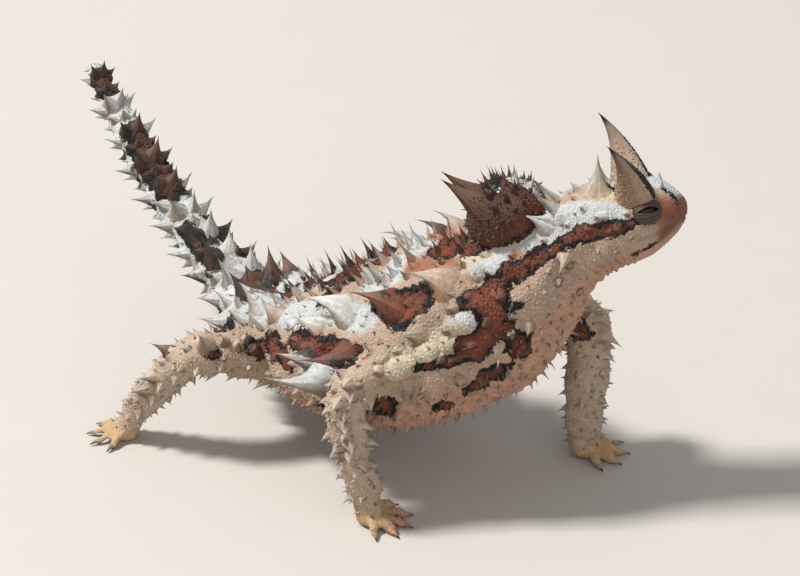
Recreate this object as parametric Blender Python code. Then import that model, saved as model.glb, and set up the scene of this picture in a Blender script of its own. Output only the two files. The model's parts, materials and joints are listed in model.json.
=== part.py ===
"""A thorny devil, a small spiny desert lizard, as a still life-size model standing on its four feet.

Sizes are in millimetres here and become metres where a mesh is made. +X is forward, +Y is the
animal's left and +Z is up. The body is one bent form read at stations, parted by thin flat cuts.
"""

import math
import random

import bmesh
import bpy
import numpy as np
from mathutils import Matrix, Vector

MM = 0.001
GAP = 0.3  # clear space between parts that touch
BODY_SIDES = 22
LIMB_SIDES = 10

# Each station is x, y, z of the axis, then half width, rise above the axis and drop below it.
SPINE = [
    (-88.5, 36.0, 50.4, 1.5, 1.5, 1.4),
    (-82.6, 32.0, 45.7, 2.4, 2.4, 2.2),
    (-76.3, 28.3, 41.0, 3.0, 3.0, 2.8),
    (-69.8, 24.5, 36.3, 3.4, 3.4, 3.2),
    (-61.5, 20.0, 31.0, 3.8, 3.8, 3.5),
    (-52.0, 15.0, 26.2, 4.4, 4.2, 3.9),
    (-41.0, 9.0, 22.8, 5.8, 5.2, 4.8),
    (-33.5, 4.6, 21.2, 7.8, 6.8, 6.4),
    (-27.5, 1.3, 20.4, 10.2, 8.6, 8.4),
    (-20.0, -0.8, 20.9, 13.8, 11.0, 10.8),
    (-11.0, -2.5, 22.8, 17.6, 13.6, 14.0),
    (0.0, -4.0, 26.4, 20.4, 16.4, 16.6),
    (11.0, -5.0, 32.2, 19.6, 17.2, 16.8),
    (20.0, -4.5, 38.6, 15.8, 15.8, 16.4),
    (27.0, -2.5, 45.0, 11.2, 12.0, 14.0),
    (32.5, 0.0, 50.5, 8.8, 9.6, 9.8),
    (37.0, 2.5, 55.0, 8.0, 9.0, 8.2),
    (41.0, 4.6, 57.3, 8.1, 8.9, 8.2),
    (44.5, 6.4, 58.6, 8.4, 8.0, 8.2),
    (48.3, 8.5, 59.6, 7.6, 7.6, 7.2),
    (51.2, 10.1, 59.9, 5.6, 5.8, 5.6),
    (53.2, 11.3, 59.8, 3.6, 3.6, 3.8),
    (54.3, 11.9, 59.6, 1.8, 1.6, 1.8),
]
# Where the body is parted, in stations from the tip of the tail.
TAIL_END, TAIL_MIDDLE, HIPS, SHOULDERS, NAPE, SNOUT = 2.6, 5.4, 8.0, 14.45, 16.45, 22.0

# Limb stations are x, y, z and one radius, from inside the body to the wrist or ankle.
ARM_RIGHT = [
    (16, -12, 34.5, 5.4),
    (9, -21.5, 32.5, 4.7),
    (2.4, -28.2, 28.5, 4.1),
    (3, -29, 17, 3.5),
    (6, -28, 5, 3.2),
]
ARM_LEFT = [
    (24, 3, 37, 5.6),
    (29, 9.5, 34, 5.0),
    (34, 13.2, 28.5, 4.5),
    (35, 12.6, 17, 4.0),
    (34.6, 11.8, 5, 3.4),
]
LEG_RIGHT = [
    (-22, -7, 19, 6.0),
    (-29, -15, 22, 4.5),
    (-35.5, -20.5, 22.5, 3.8),
    (-43.5, -21, 14, 3.1),
    (-50, -21, 5, 2.7),
]
LEG_LEFT = [
    (-22, 6, 18, 5.9),
    (-21, 15, 17.5, 4.6),
    (-18.5, 22, 15, 3.8),
    (-17, 26.5, 9.5, 3.2),
    (-16.5, 28.5, 4.5, 2.8),
]

# Thorns of the right side, mirrored to the left: station, angle round the body (90 is the ridge,
# 180 the right side), length, base radius, lean to the tail and lift to the ridge.
BACK_THORNS = [
    (8.7, 143, 4.8, 1.9, 0.3, 0.4),
    (9.1, 130, 5.6, 2.2, 0.6, 0.4),
    (10.65, 139, 6.4, 2.4, 1.5, 0.4),
    (11.3, 131, 10.5, 3.5, 1.6, 0.3),
    (12.2, 134, 9.0, 3.4, 1.5, 0.5),
    (13.15, 127, 7.4, 3.1, 1.5, 0.5),
    (11.65, 110, 4.2, 1.9, 1.0, 0.8),
    (10.5, 161, 8.2, 2.6, 1.6, 0.3),
    (11.35, 163, 10.5, 3.3, 1.6, 0.3),
    (10.75, 175, 13.0, 3.6, 1.5, 0.4),
    (11.85, 186, 4.0, 1.3, 1.2, -0.9),
    (12.1, 198, 3.6, 1.3, 1.4, 0.0),
    (12.5, 158, 4.0, 2.4, 1.2, 0.2),
    (13.2, 150, 3.2, 2.0, 1.0, 0.2),
]
NECK_THORNS = [
    (15.6, 112, 6.0, 2.1, 0.6, 0.6),
    (15.95, 76, 7.6, 1.3, 0.2, -0.1),
    (15.5, 163, 5.0, 1.5, 1.3, -0.6),
]
HEAD_THORNS = [
    (18.53, 113.5, 14.0, 3.9, 0.3, 0.12),
    (17.35, 98, 6.6, 2.2, -0.1, 0.1),
    (17.6, 160, 2.4, 1.2, 0.8, 0.2),
    (17.1, 142, 2.6, 1.4, 0.6, 0.3),
    (19.6, 104, 1.6, 0.8, 0.3, 0.0),
]
THIN_ROWS = ((80.0, 5.8, 1.15), (66.0, 4.6, 1.0))  # angle, length and base radius of fine thorns
BELLY_ANGLE, FLANK_ANGLE = 216.0, 146.0
WHORL_SPACING, WHORL_ANGLES = 3.7, (78, 122, 182, 240, 320, 18)

KNOB_CENTRE, KNOB_HALF, KNOB_PITCH = (23.4, -2.0, 58.6), (8.2, 7.0, 7.3), 38.0
KNOB_HORN_LENGTH, KNOB_HORN_BASE = 11.5, 4.4
KNOB_HORN_ROOT = (-3.6, 1.6, 1.8)  # forward, outward and up from the knob's middle
KNOB_HORN_WAY = (-0.8, 0.0, 0.6)

EYE_STATION, EYE_ANGLE, EYE_RADIUS, LID_RADIUS = 18.85, 146.0, 2.35, 2.95
EYE_DEPTH = 1.55  # from the body's surface down to the middle of the eyeball
SLIT_HALF, SLIT_RISE = (2.45, 0.62, 1.6), 2.2  # the opening between the lids, above that middle
# The mouth's line, the nostril and the ear of the right side, as station and angle.
MOUTH = [(18.4, 183.0), (19.2, 182.0), (20.2, 181.0), (21.2, 179.0), (21.9, 176.0)]
MOUTH_RADIUS = 0.34
NOSTRIL, NOSTRIL_HALF = (20.7, 132.0), (0.42, 0.34, 0.7)
EAR, EAR_HALF = (17.0, 176.0), (0.9, 1.5, 0.7)

TOE_LENGTH, TOE_RADIUS, CLAW_LENGTH, CLAW_BASE = 3.3, 1.0, 1.7, 0.62
PALM_HEIGHT, PALM_HALF_HEIGHT = 1.9, 2.5
TOES = ((-62, 0.75), (-30, 1.0), (0, 1.1), (30, 1.0), (64, 0.75))  # spread and share of the length
ARM_CUTS, LEG_CUTS = (2.25, 3.75), (2.1, 3.7)
ARM_ANGLES, LEG_ANGLES = (30, 90, 150, 225, 300), (20, 90, 160, 230, 300)
# Each limb's three parts, its stations, its cuts, the heading of its toes, then its thorns' length
# and their angles round it.
LIMBS = [
    (("upper_arm_right", "forearm_right", "hand_right"), ARM_RIGHT, ARM_CUTS, 5, 3.4, ARM_ANGLES),
    (("upper_arm_left", "forearm_left", "hand_left"), ARM_LEFT, ARM_CUTS, 20, 3.5, ARM_ANGLES),
    (("thigh_right", "shank_right", "foot_right"), LEG_RIGHT, LEG_CUTS, 200, 3.7, LEG_ANGLES),
    (("thigh_left", "shank_left", "foot_left"), LEG_LEFT, LEG_CUTS, 120, 3.4, LEG_ANGLES),
]

PALE_SKIN, TAN_SKIN = (0.62, 0.58, 0.5), (0.55, 0.43, 0.28)
BROWN_SKIN, EYE_BROWN = (0.3, 0.13, 0.07), (0.05, 0.02, 0.01)
SKIN_ROUGHNESS, EYE_ROUGHNESS, SMOOTH_ANGLE = 0.75, 0.15, 38.0


class Form:
    """A rounded form swept along stations, read at a place along it and an angle round it."""

    def __init__(self, stations, across=None, grow=0.0):
        rows = [tuple(r) if len(r) == 6 else (*r[:3], r[3], r[3], r[3]) for r in stations]
        self.rows = np.array(rows, float) + np.array([0, 0, 0, grow, grow, grow])
        self.across = across  # the side direction of a limb; None on the body, whose side is level
        self.last = len(stations) - 1

    def row(self, t):
        """The station values at t, by a Catmull-Rom curve through the stations."""
        i = min(max(int(math.floor(t)), 0), self.last - 1)
        u = t - i
        p1, p2 = self.rows[i], self.rows[i + 1]
        p0 = self.rows[i - 1] if i > 0 else 2 * p1 - p2
        p3 = self.rows[i + 2] if i + 2 <= self.last else 2 * p2 - p1
        bend = (2 * p0 - 5 * p1 + 4 * p2 - p3) * u**2 + (3 * p1 - p0 - 3 * p2 + p3) * u**3
        return 0.5 * (2 * p1 + (p2 - p0) * u + bend)

    def frame(self, t):
        """Centre, direction along, side and up at t."""
        step = 0.01
        along = Vector(self.row(t + step)[:3] - self.row(t - step)[:3]).normalized()
        side = Vector(self.across) if self.across else Vector((0, 0, 1)).cross(along)
        side = (side - side.dot(along) * along).normalized()
        return Vector(self.row(t)[:3]), along, side, along.cross(side)

    def point(self, t, angle, scale=1.0):
        """The surface point at t; 0 degrees is the side direction and 90 is up."""
        centre, along, side, up = self.frame(t)
        half, rise, drop = self.row(t)[3:]
        c, s = math.cos(math.radians(angle)), math.sin(math.radians(angle))
        return centre + scale * (side * (half * c) + up * ((rise if s > 0 else drop) * s))

    def axes(self, t, angle):
        """The surface point, its outward normal, the direction along and the direction round."""
        step, turn = 0.03, 2.0
        here = self.point(t, angle)
        run = self.point(t + step, angle) - self.point(t - step, angle)
        round_way = self.point(t, angle + turn) - self.point(t, angle - turn)
        normal = round_way.cross(run).normalized()
        if normal.dot(here - self.frame(t)[0]) < 0:
            normal = -normal
        along = self.frame(t)[1]
        along = (along - along.dot(normal) * normal).normalized()
        return here, normal, along, normal.cross(along)

    def places(self, start, end, spacing):
        """Stations from start to end, spaced evenly in mm along the axis."""
        ts = np.linspace(start, end, 200)
        points = np.array([self.row(t)[:3] for t in ts])
        run = np.concatenate([[0], np.cumsum(np.linalg.norm(np.diff(points, axis=0), axis=1))])
        count = max(2, round(run[-1] / spacing) + 1)
        return [float(np.interp(d, run, ts)) for d in np.linspace(0, run[-1], count)]


def limb(stations, grow=0.0):
    """A limb's form, whose side direction is square to the plane that it bends in."""
    hip, knee, ankle = (Vector(stations[i][:3]) for i in (0, 2, 4))
    return Form(stations, (knee - hip).cross(ankle - knee).normalized(), grow)


def mesh_object(name, points, faces):
    mesh = bpy.data.meshes.new(name)
    mesh.from_pydata([Vector(p) * MM for p in points], [], faces)
    made = bpy.data.objects.new(name, mesh)
    bpy.context.collection.objects.link(made)
    return made


def swept(name, form, start, end, rings, sides, start_gap=0.0, end_gap=0.0):
    """One closed length of a form with flat ends, each drawn back by its gap."""
    points = []
    for k in range(rings):
        t = start + (end - start) * k / (rings - 1)
        shift = form.frame(t)[1] * (start_gap if k == 0 else -end_gap if k == rings - 1 else 0.0)
        points += [form.point(t, 360.0 * j / sides) + shift for j in range(sides)]
    faces = [tuple(reversed(range(sides))), tuple((rings - 1) * sides + j for j in range(sides))]
    for k in range(rings - 1):
        for j in range(sides):
            a, b = k * sides + j, k * sides + (j + 1) % sides
            faces.append((a, b, b + sides, a + sides))
    return mesh_object(name, points, faces)


def ball(name, centre, half, turn=None, rings=10, sides=16):
    """An ellipsoid from its centre and half sizes, turned about its centre."""
    shape = bmesh.new()
    bmesh.ops.create_uvsphere(shape, u_segments=sides, v_segments=rings, radius=1.0)
    place = Matrix.Translation(Vector(centre) * MM) @ (turn or Matrix()).to_4x4()
    shape.transform(place @ Matrix.Diagonal(Vector(half) * MM).to_4x4())
    mesh = bpy.data.meshes.new(name)
    shape.to_mesh(mesh)
    shape.free()
    made = bpy.data.objects.new(name, mesh)
    bpy.context.collection.objects.link(made)
    return made


def thorn(root, normal, direction, length, base, sides=5, sink=0.45):
    """A rose thorn: a wide base sunk in the skin, a thin curved middle and a sharp tip.

    One of four sides is small and goes straight from its base to its tip.
    """
    direction = direction.normalized()
    tip = root + direction * length
    across = normal.orthogonal().normalized()
    other = normal.cross(across)
    bow = root + normal * (0.30 * length)
    rings = [(root - normal * (sink * base + 0.4), 1.0, normal)]
    if sides > 4:
        rings.append(((root + 2 * bow + tip) / 4, 0.42, (normal + direction).normalized()))
    points = []
    for centre, wide, axis in rings:
        u = (across - across.dot(axis) * axis).normalized()
        v = axis.cross(u)
        for j in range(sides):
            a = 2 * math.pi * j / sides
            points.append(centre + (u * math.cos(a) + v * math.sin(a)) * (base * wide))
    points.append(tip)
    faces = [tuple(reversed(range(sides)))]
    last = len(points) - 1
    for j in range(sides):
        k = (j + 1) % sides
        if sides > 4:
            faces.append((j, k, sides + k, sides + j))
        faces.append((last - sides + j, last - sides + k, last))
    return points, faces


class Thorns:
    """The thorns of one part, gathered while they stay clear of what they must not touch."""

    def __init__(self, name, avoid=()):
        self.name = name
        self.avoid = avoid  # tests that say whether a point is too near something else
        self.made = []

    def add(self, form, t, angle, length, base, back=0.3, lift=0.0, sides=5):
        root, normal, along, round_way = form.axes(t, angle)
        direction = (normal - along * back + round_way * lift).normalized()
        for share in (0.15, 0.6, 1.0):
            spot = root + direction * (length * share)
            if any(test(spot, base * (1 - 0.7 * share) + 0.5) for test in self.avoid):
                return
        points, faces = thorn(root, normal, direction, length, base, sides)
        self.made.append(mesh_object(f"{self.name}_thorn_{len(self.made)}", points, faces))

    def both(self, form, t, angle, length, base, back=0.3, lift=0.0, sides=5):
        """A thorn of the right side and its twin on the left."""
        self.add(form, t, angle, length, base, back, lift, sides)
        self.add(form, t, 180.0 - angle, length, base, back, -lift, sides)


def near_form(form, first=0.0, last=None):
    """A test of how near a point is to a limb's surface."""
    last = form.last if last is None else last
    axis = [(Vector(form.row(t)[:3]), form.row(t)[3]) for t in np.linspace(first, last, 24)]
    return lambda spot, room: any((spot - centre).length < radius + room for centre, radius in axis)


def beyond(form, t, way):
    """A test of whether a point is past the flat cut at t, towards way 1 or -1 along the form."""
    centre, along = form.frame(t)[:2]
    return lambda spot, room: (spot - centre).dot(along) * way > -room - GAP


def apply_boolean(target, operation, pieces, solver):
    """Joins a collection of closed pieces to the target, or cuts them from it, and removes them."""
    group = bpy.data.collections.new(target.name + "_pieces")
    bpy.context.scene.collection.children.link(group)
    for piece in pieces:
        group.objects.link(piece)
    modifier = target.modifiers.new("join", "BOOLEAN")
    modifier.operation = operation
    modifier.operand_type = "COLLECTION"
    modifier.collection = group
    modifier.solver = solver
    bpy.context.view_layer.update()
    evaluated = target.evaluated_get(bpy.context.evaluated_depsgraph_get())
    mesh = bpy.data.meshes.new_from_object(evaluated)
    target.modifiers.clear()
    target.data = mesh
    for piece in list(pieces):
        bpy.data.objects.remove(piece)
    bpy.data.collections.remove(group)


def keep_largest(target):
    """Keeps only the largest closed surface of a part."""
    shape = bmesh.new()
    shape.from_mesh(target.data)
    bmesh.ops.triangulate(shape, faces=shape.faces)
    unseen, groups = set(shape.verts), []
    while unseen:
        stack, group = [unseen.pop()], []
        while stack:
            vert = stack.pop()
            group.append(vert)
            for edge in vert.link_edges:
                other = edge.other_vert(vert)
                if other in unseen:
                    unseen.discard(other)
                    stack.append(other)
        groups.append(group)

    def spread(group):
        low = [min(v.co[i] for v in group) for i in range(3)]
        high = [max(v.co[i] for v in group) for i in range(3)]
        return math.dist(low, high)

    groups.sort(key=spread)
    for group in groups[:-1]:
        bmesh.ops.delete(shape, geom=group, context="VERTS")
    shape.to_mesh(target.data)
    shape.free()


def join(target, pieces):
    if pieces:
        apply_boolean(target, "UNION", pieces, "MANIFOLD")
    keep_largest(target)


def cut(target, pieces):
    apply_boolean(target, "DIFFERENCE", pieces, "MANIFOLD")
    keep_largest(target)


def material(name, colour, roughness):
    made = bpy.data.materials.new(name)
    made.use_nodes = True
    shader = made.node_tree.nodes["Principled BSDF"]
    shader.inputs["Base Color"].default_value = (*colour, 1.0)
    shader.inputs["Roughness"].default_value = roughness
    shader.inputs["Metallic"].default_value = 0.0
    return made


def finish(target, colour, roughness=SKIN_ROUGHNESS):
    target.data.materials.clear()
    target.data.materials.append(material(target.name + "_finish", colour, roughness))
    target.data.shade_smooth()
    target.data.set_sharp_from_angle(angle=math.radians(SMOOTH_ANGLE))


def tail_thorns(gather, form, start, end, rng):
    """Whorls of six thorns, large on top, with a smaller whorl between each pair."""
    places = form.places(0.45, HIPS + 0.3, WHORL_SPACING)
    for k, t in enumerate(places):
        if not start + 0.12 < t < end - 0.12:
            continue
        size = form.row(t)[3] ** 0.5
        big = k % 2 == 0
        for spoke, angle in enumerate(WHORL_ANGLES):
            top = 1.0 if spoke < 2 else 0.86
            length = size * (2.35 if big else 1.1) * top * rng.uniform(0.88, 1.1)
            base = size * (0.95 if big else 0.55) * top
            turn = angle + (0 if big else 27) + rng.uniform(-4, 4)
            if big or spoke not in (3, 4):
                gather.add(form, t, turn, length, base, 0.35, 0.0, 5 if big else 4)


def build_tail(name, start, end, rings, body, rng):
    sides, start_gap = (10 if end < HIPS else 14), (GAP / 2 if start else 0.0)
    part = swept(name, body, start, end, rings, sides, start_gap, GAP / 2)
    avoid = [beyond(body, end, 1)] + ([beyond(body, start, -1)] if start else [])
    avoid += [near_form(limb(LEG_RIGHT)), near_form(limb(LEG_LEFT))]
    gather = Thorns(name, avoid)
    tail_thorns(gather, body, start, end, rng)
    join(part, gather.made)
    finish(part, PALE_SKIN)


def build_torso(body, limbs, knob_test, rng):
    part = swept("torso", body, HIPS, SHOULDERS, 16, BODY_SIDES, GAP / 2, GAP / 2)
    avoid = [near_form(form) for form in limbs]
    avoid += [beyond(body, HIPS, -1), beyond(body, SHOULDERS, 1), knob_test]
    gather = Thorns("torso", avoid)
    for t, angle, length, base, back, lift in BACK_THORNS:
        gather.both(body, t, angle, length, base, back, lift, 6)
    for angle, length, base in THIN_ROWS:
        for t in body.places(8.8, 13.6, 7.0):
            for side in (angle, 180 - angle):
                jitter = rng.uniform(-3, 3)
                place = t + rng.uniform(-0.12, 0.12)
                size = length * rng.uniform(0.8, 1.1)
                gather.add(body, place, side + jitter, size, base, 0.35, 0, 4)
    for t in body.places(9.0, 14.0, 4.4):
        place, turned = t + rng.uniform(-0.1, 0.1), BELLY_ANGLE + rng.uniform(-3, 3)
        gather.both(body, place, turned, 1.9, 0.8, 0.6, 0, 4)
    for t in body.places(8.9, 13.8, 6.5):
        place, turned = t + rng.uniform(-0.15, 0.15), FLANK_ANGLE + rng.uniform(-8, 8)
        gather.both(body, place, turned, 2.4, 1.2, 0.9, 0, 4)
    join(part, gather.made)
    finish(part, PALE_SKIN)


def build_neck(body, limbs, knob_test, rng):
    part = swept("neck", body, SHOULDERS, NAPE, 6, BODY_SIDES, GAP / 2, GAP / 2)
    avoid = [near_form(form) for form in limbs]
    avoid += [beyond(body, SHOULDERS, -1), beyond(body, NAPE, 1), knob_test]
    gather = Thorns("neck", avoid)
    for t, angle, length, base, back, lift in NECK_THORNS:
        gather.both(body, t, angle, length, base, back, lift, 5)
    for t in body.places(14.9, 16.1, 4.5):
        for angle in (140, 185, 215):
            gather.both(body, t, angle + rng.uniform(-6, 6), 1.6, 0.8, 0.8, 0, 4)
    join(part, gather.made)
    finish(part, PALE_SKIN)


def knob_turn():
    along = Form(SPINE).frame(14.3)[1]
    heading = Matrix.Rotation(math.atan2(along.y, along.x), 3, "Z")
    return heading @ Matrix.Rotation(math.radians(-KNOB_PITCH), 3, "Y")


def near_knob(spot, room):
    inside = knob_turn().inverted() @ (spot - Vector(KNOB_CENTRE))
    return sum((inside[i] / (KNOB_HALF[i] + room)) ** 2 for i in range(3)) < 1


def build_knob(rng):
    """The rounded knob on the nape, with its two large horns and a comb of small thorns."""
    turn = knob_turn()
    centre = Vector(KNOB_CENTRE)
    part = ball("neck_knob", centre, KNOB_HALF, turn, 10, 16)
    gather = Thorns("knob", [])

    def on_knob(azimuth, height, length, base, back, sides):
        """A thorn at an azimuth from the front and a height above the knob's middle, in degrees."""
        a, h = math.radians(azimuth), math.radians(height)
        way = Vector((math.cos(a) * math.cos(h), math.sin(a) * math.cos(h), math.sin(h)))
        spot = Vector(way[i] * KNOB_HALF[i] for i in range(3))
        normal = Vector(way[i] / KNOB_HALF[i] for i in range(3)).normalized()
        direction = (turn @ (normal + Vector((-back, 0, 0)))).normalized()
        points, faces = thorn(centre + turn @ spot, turn @ normal, direction, length, base, sides)
        gather.made.append(mesh_object(f"knob_thorn_{len(gather.made)}", points, faces))

    heading = turn @ Vector((1, 0, 0))
    heading = Vector((heading.x, heading.y, 0)).normalized()
    left = Vector((-heading.y, heading.x, 0))
    for side in (-1, 1):
        axes = Matrix((heading, left * side, Vector((0, 0, 1)))).transposed()
        direction = (axes @ Vector(KNOB_HORN_WAY)).normalized()
        root = centre + axes @ Vector(KNOB_HORN_ROOT)
        points, faces = thorn(root, direction, direction, KNOB_HORN_LENGTH, KNOB_HORN_BASE, 8, 0.5)
        gather.made.append(mesh_object(f"knob_horn_{side}", points, faces))
    for azimuth in range(-60, 61, 24):
        for height in (40, 66):
            length = rng.uniform(1.6, 2.6)
            on_knob(azimuth + rng.uniform(-5, 5), height + rng.uniform(-5, 5), length, 0.8, 0.2, 4)
    join(part, gather.made)
    cut(part, [swept("under_knob", Form(SPINE, grow=GAP + 0.1), 11, 18, 18, BODY_SIDES)])
    finish(part, BROWN_SKIN)


def build_head(body, rng):
    part = swept("head", body, NAPE, SNOUT, 15, BODY_SIDES, GAP / 2)
    pieces = []
    gather = Thorns("head", [beyond(body, NAPE, -1), near_knob])
    for t, angle, length, base, back, lift in HEAD_THORNS:
        gather.both(body, t, angle, length, base, back, lift, 7 if length > 8 else 5)
    for t in body.places(17.0, 20.8, 3.4):
        gather.both(body, t, 200 + rng.uniform(-8, 8), 1.3, 0.7, 0.6, 0, 4)
    pieces += gather.made
    eyes = []
    for name, angle in (("eye_right", EYE_ANGLE), ("eye_left", 180 - EYE_ANGLE)):
        spot, normal, along, round_way = body.axes(EYE_STATION, angle)
        turn = Matrix((along, round_way, normal)).transposed()
        centre = spot - normal * EYE_DEPTH
        lids_half = (LID_RADIUS + 0.3, LID_RADIUS, LID_RADIUS)
        pieces.append(ball(name + "_lids", centre, lids_half, turn, 8, 14))
        eyes.append((name, centre, normal, turn))
    join(part, pieces)
    cutters = []
    for name, centre, normal, turn in eyes:
        cutters.append(ball(name + "_socket", centre, (EYE_RADIUS + GAP,) * 3, turn, 8, 12))
        cutters.append(ball(name + "_slit", centre + normal * SLIT_RISE, SLIT_HALF, turn, 6, 10))
    join(cutters[0], [cutters[1]])
    join(cutters[2], [cutters[3]])
    tools = [cutters[0], cutters[2]] + mouth_and_openings(body)
    cut(part, tools)
    finish(part, BROWN_SKIN)
    for name, centre, normal, turn in eyes:
        finish(ball(name, centre, (EYE_RADIUS,) * 3, turn, 8, 12), EYE_BROWN, EYE_ROUGHNESS)


def mouth_and_openings(body):
    """The cutters of the mouth's line, the nostrils and the ear hollows."""
    tools = []
    for mirror in (False, True):
        line = []
        for t, angle in MOUTH:
            spot = body.point(t, 180 - angle if mirror else angle)
            line.append((*spot, MOUTH_RADIUS))
        tools.append(swept("mouth_cut", Form(line, (0, 0, 1)), 0, len(MOUTH) - 1, 9, 5))
        for place, half in ((NOSTRIL, NOSTRIL_HALF), (EAR, EAR_HALF)):
            angle = 180 - place[1] if mirror else place[1]
            spot, normal, along, round_way = body.axes(place[0], angle)
            turn = Matrix((along, round_way, normal)).transposed()
            tools.append(ball("hollow_cut", spot, half, turn, 5, 8))
    return tools


def floor_block(middle):
    """A block under the floor, whose top is level with it."""
    shape = bmesh.new()
    bmesh.ops.create_cube(shape, size=1.0)
    place = Matrix.Translation(Vector((middle.x, middle.y, -10)) * MM)
    shape.transform(place @ Matrix.Diagonal(Vector((60, 60, 20)) * MM).to_4x4())
    mesh = bpy.data.meshes.new("floor_cut")
    shape.to_mesh(mesh)
    shape.free()
    block = bpy.data.objects.new("floor_cut", mesh)
    bpy.context.collection.objects.link(block)
    return block


def build_foot(name, form, cut_at, heading):
    """A palm and five toes with claws, cut flat where they rest on the floor."""
    part = swept(name, form, cut_at, form.last, 4, LIMB_SIDES, GAP / 2)
    wrist = Vector(form.rows[-1][:3])
    radius = float(form.rows[-1][3])
    turn = Matrix.Rotation(math.radians(heading), 3, "Z")
    forward = turn @ Vector((1, 0, 0))
    palm = Vector((wrist.x, wrist.y, PALM_HEIGHT)) + forward * 0.8
    palm_half = (radius * 1.05, radius, PALM_HALF_HEIGHT)
    heel = Vector((wrist.x, wrist.y, wrist.z * 0.75))
    heel_half = (radius * 0.96, radius * 0.96, wrist.z * 0.55)
    pieces = [ball(name + "_palm", palm, palm_half, turn, 6, 10)]
    pieces.append(ball(name + "_heel", heel, heel_half, turn, 6, 10))
    for spread, share in TOES:
        way = Matrix.Rotation(math.radians(spread), 3, "Z") @ forward
        start, end = palm + way * (radius * 0.5), palm + way * (radius * 0.95 + TOE_LENGTH * share)
        start.z, end.z = 1.5, 0.75
        knuckle = (start + end) / 2 + Vector((0, 0, 0.55))
        line = [(*start, TOE_RADIUS), (*knuckle, TOE_RADIUS), (*end, 0.72 * TOE_RADIUS)]
        toe = Form(line, tuple(way.cross(Vector((0, 0, 1)))))
        pieces.append(swept(name + "_toe", toe, 0, 2, 4, 5))
        down = way + Vector((0, 0, -0.12))
        points, faces = thorn(end - way * 0.2, way, down, CLAW_LENGTH, CLAW_BASE, 4, 0.1)
        pieces.append(mesh_object(name + "_claw", points, faces))
    join(part, pieces)
    cut(part, [floor_block(wrist)])
    finish(part, TAN_SKIN)


def limb_thorns(gather, form, start, end, angles, length, spacing, rng):
    for k, t in enumerate(form.places(start, end, spacing)):
        for angle in angles:
            turned = angle + (180.0 / len(angles) if k % 2 else 0.0) + rng.uniform(-8, 8)
            size = length * rng.uniform(0.75, 1.15)
            gather.add(form, t, turned, size, size * 0.42, -0.7, 0.0, 4)


def build_limb(names, stations, cuts, heading, thorn_length, angles, rng):
    """The upper length, the lower length and the foot of one limb."""
    form = limb(stations)
    upper = swept(names[0], form, 0.0, cuts[0], 8, LIMB_SIDES, 0.0, GAP / 2)
    gather = Thorns(names[0], [beyond(form, cuts[0], 1)])
    limb_thorns(gather, form, 0.9, cuts[0] - 0.25, angles, thorn_length, 4.6, rng)
    join(upper, gather.made)
    cut(upper, [swept("clear_of_body", Form(SPINE, grow=GAP + 0.15), 6, 16, 24, BODY_SIDES)])
    finish(upper, PALE_SKIN)
    lower = swept(names[1], form, cuts[0], cuts[1], 6, LIMB_SIDES, GAP / 2, GAP / 2)
    gather = Thorns(names[1], [beyond(form, cuts[0], -1), beyond(form, cuts[1], 1), near_body])
    limb_thorns(gather, form, cuts[0] + 0.2, cuts[1] - 0.2, angles, thorn_length * 0.85, 3.6, rng)
    join(lower, gather.made)
    finish(lower, PALE_SKIN)
    build_foot(names[2], form, cuts[1], heading)


def near_body(spot, room):
    """Whether a point is inside the body or nearer to it than room."""
    body = Form(SPINE)
    for t in np.linspace(HIPS - 1, SHOULDERS + 0.55, 33):
        centre, along, side, up = body.frame(t)
        away = spot - centre
        if abs(away.dot(along)) > 2.0:
            continue
        half, rise, drop = body.row(t)[3:]
        tall = rise if away.dot(up) > 0 else drop
        a, b = away.dot(side) / (half + room), away.dot(up) / (tall + room)
        if a * a + b * b < 1:
            return True
    return False


def main():
    for old in list(bpy.data.objects):
        bpy.data.objects.remove(old)
    rng = random.Random(7)
    body = Form(SPINE)
    limbs = [limb(row[1]) for row in LIMBS]
    build_tail("tail_end", 0.0, TAIL_END, 6, body, rng)
    build_tail("tail_middle", TAIL_END, TAIL_MIDDLE, 7, body, rng)
    build_tail("tail_root", TAIL_MIDDLE, HIPS, 7, body, rng)
    build_torso(body, limbs, near_knob, rng)
    build_neck(body, limbs, near_knob, rng)
    build_knob(rng)
    build_head(body, rng)
    for names, stations, cuts, heading, thorn_length, angles in LIMBS:
        build_limb(names, stations, cuts, heading, thorn_length, angles, rng)
    low = np.full(3, np.inf)
    high = -low
    for part in bpy.data.objects:
        corners = np.empty(len(part.data.vertices) * 3)
        part.data.vertices.foreach_get("co", corners)
        corners = corners.reshape(-1, 3)
        low, high = np.minimum(low, corners.min(0)), np.maximum(high, corners.max(0))
    shift = Vector((-(low[0] + high[0]) / 2, -(low[1] + high[1]) / 2, -low[2]))
    for part in bpy.data.objects:
        part.data.transform(Matrix.Translation(shift))


main()
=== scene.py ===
# %% [markdown]
# # A thorny devil, dressed for display
# The frame holds the plain solids of the animal. Here one skin goes over them, and thorns, horns,
# scales, lids, eyes and claws are set on that skin. Sizes are in millimetres, like the animal's own
# tables below, and become metres when a mesh is made.

# %% Load the frame
import json
import math

import bpy
import numpy as np
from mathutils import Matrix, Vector
from mathutils.kdtree import KDTree

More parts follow.
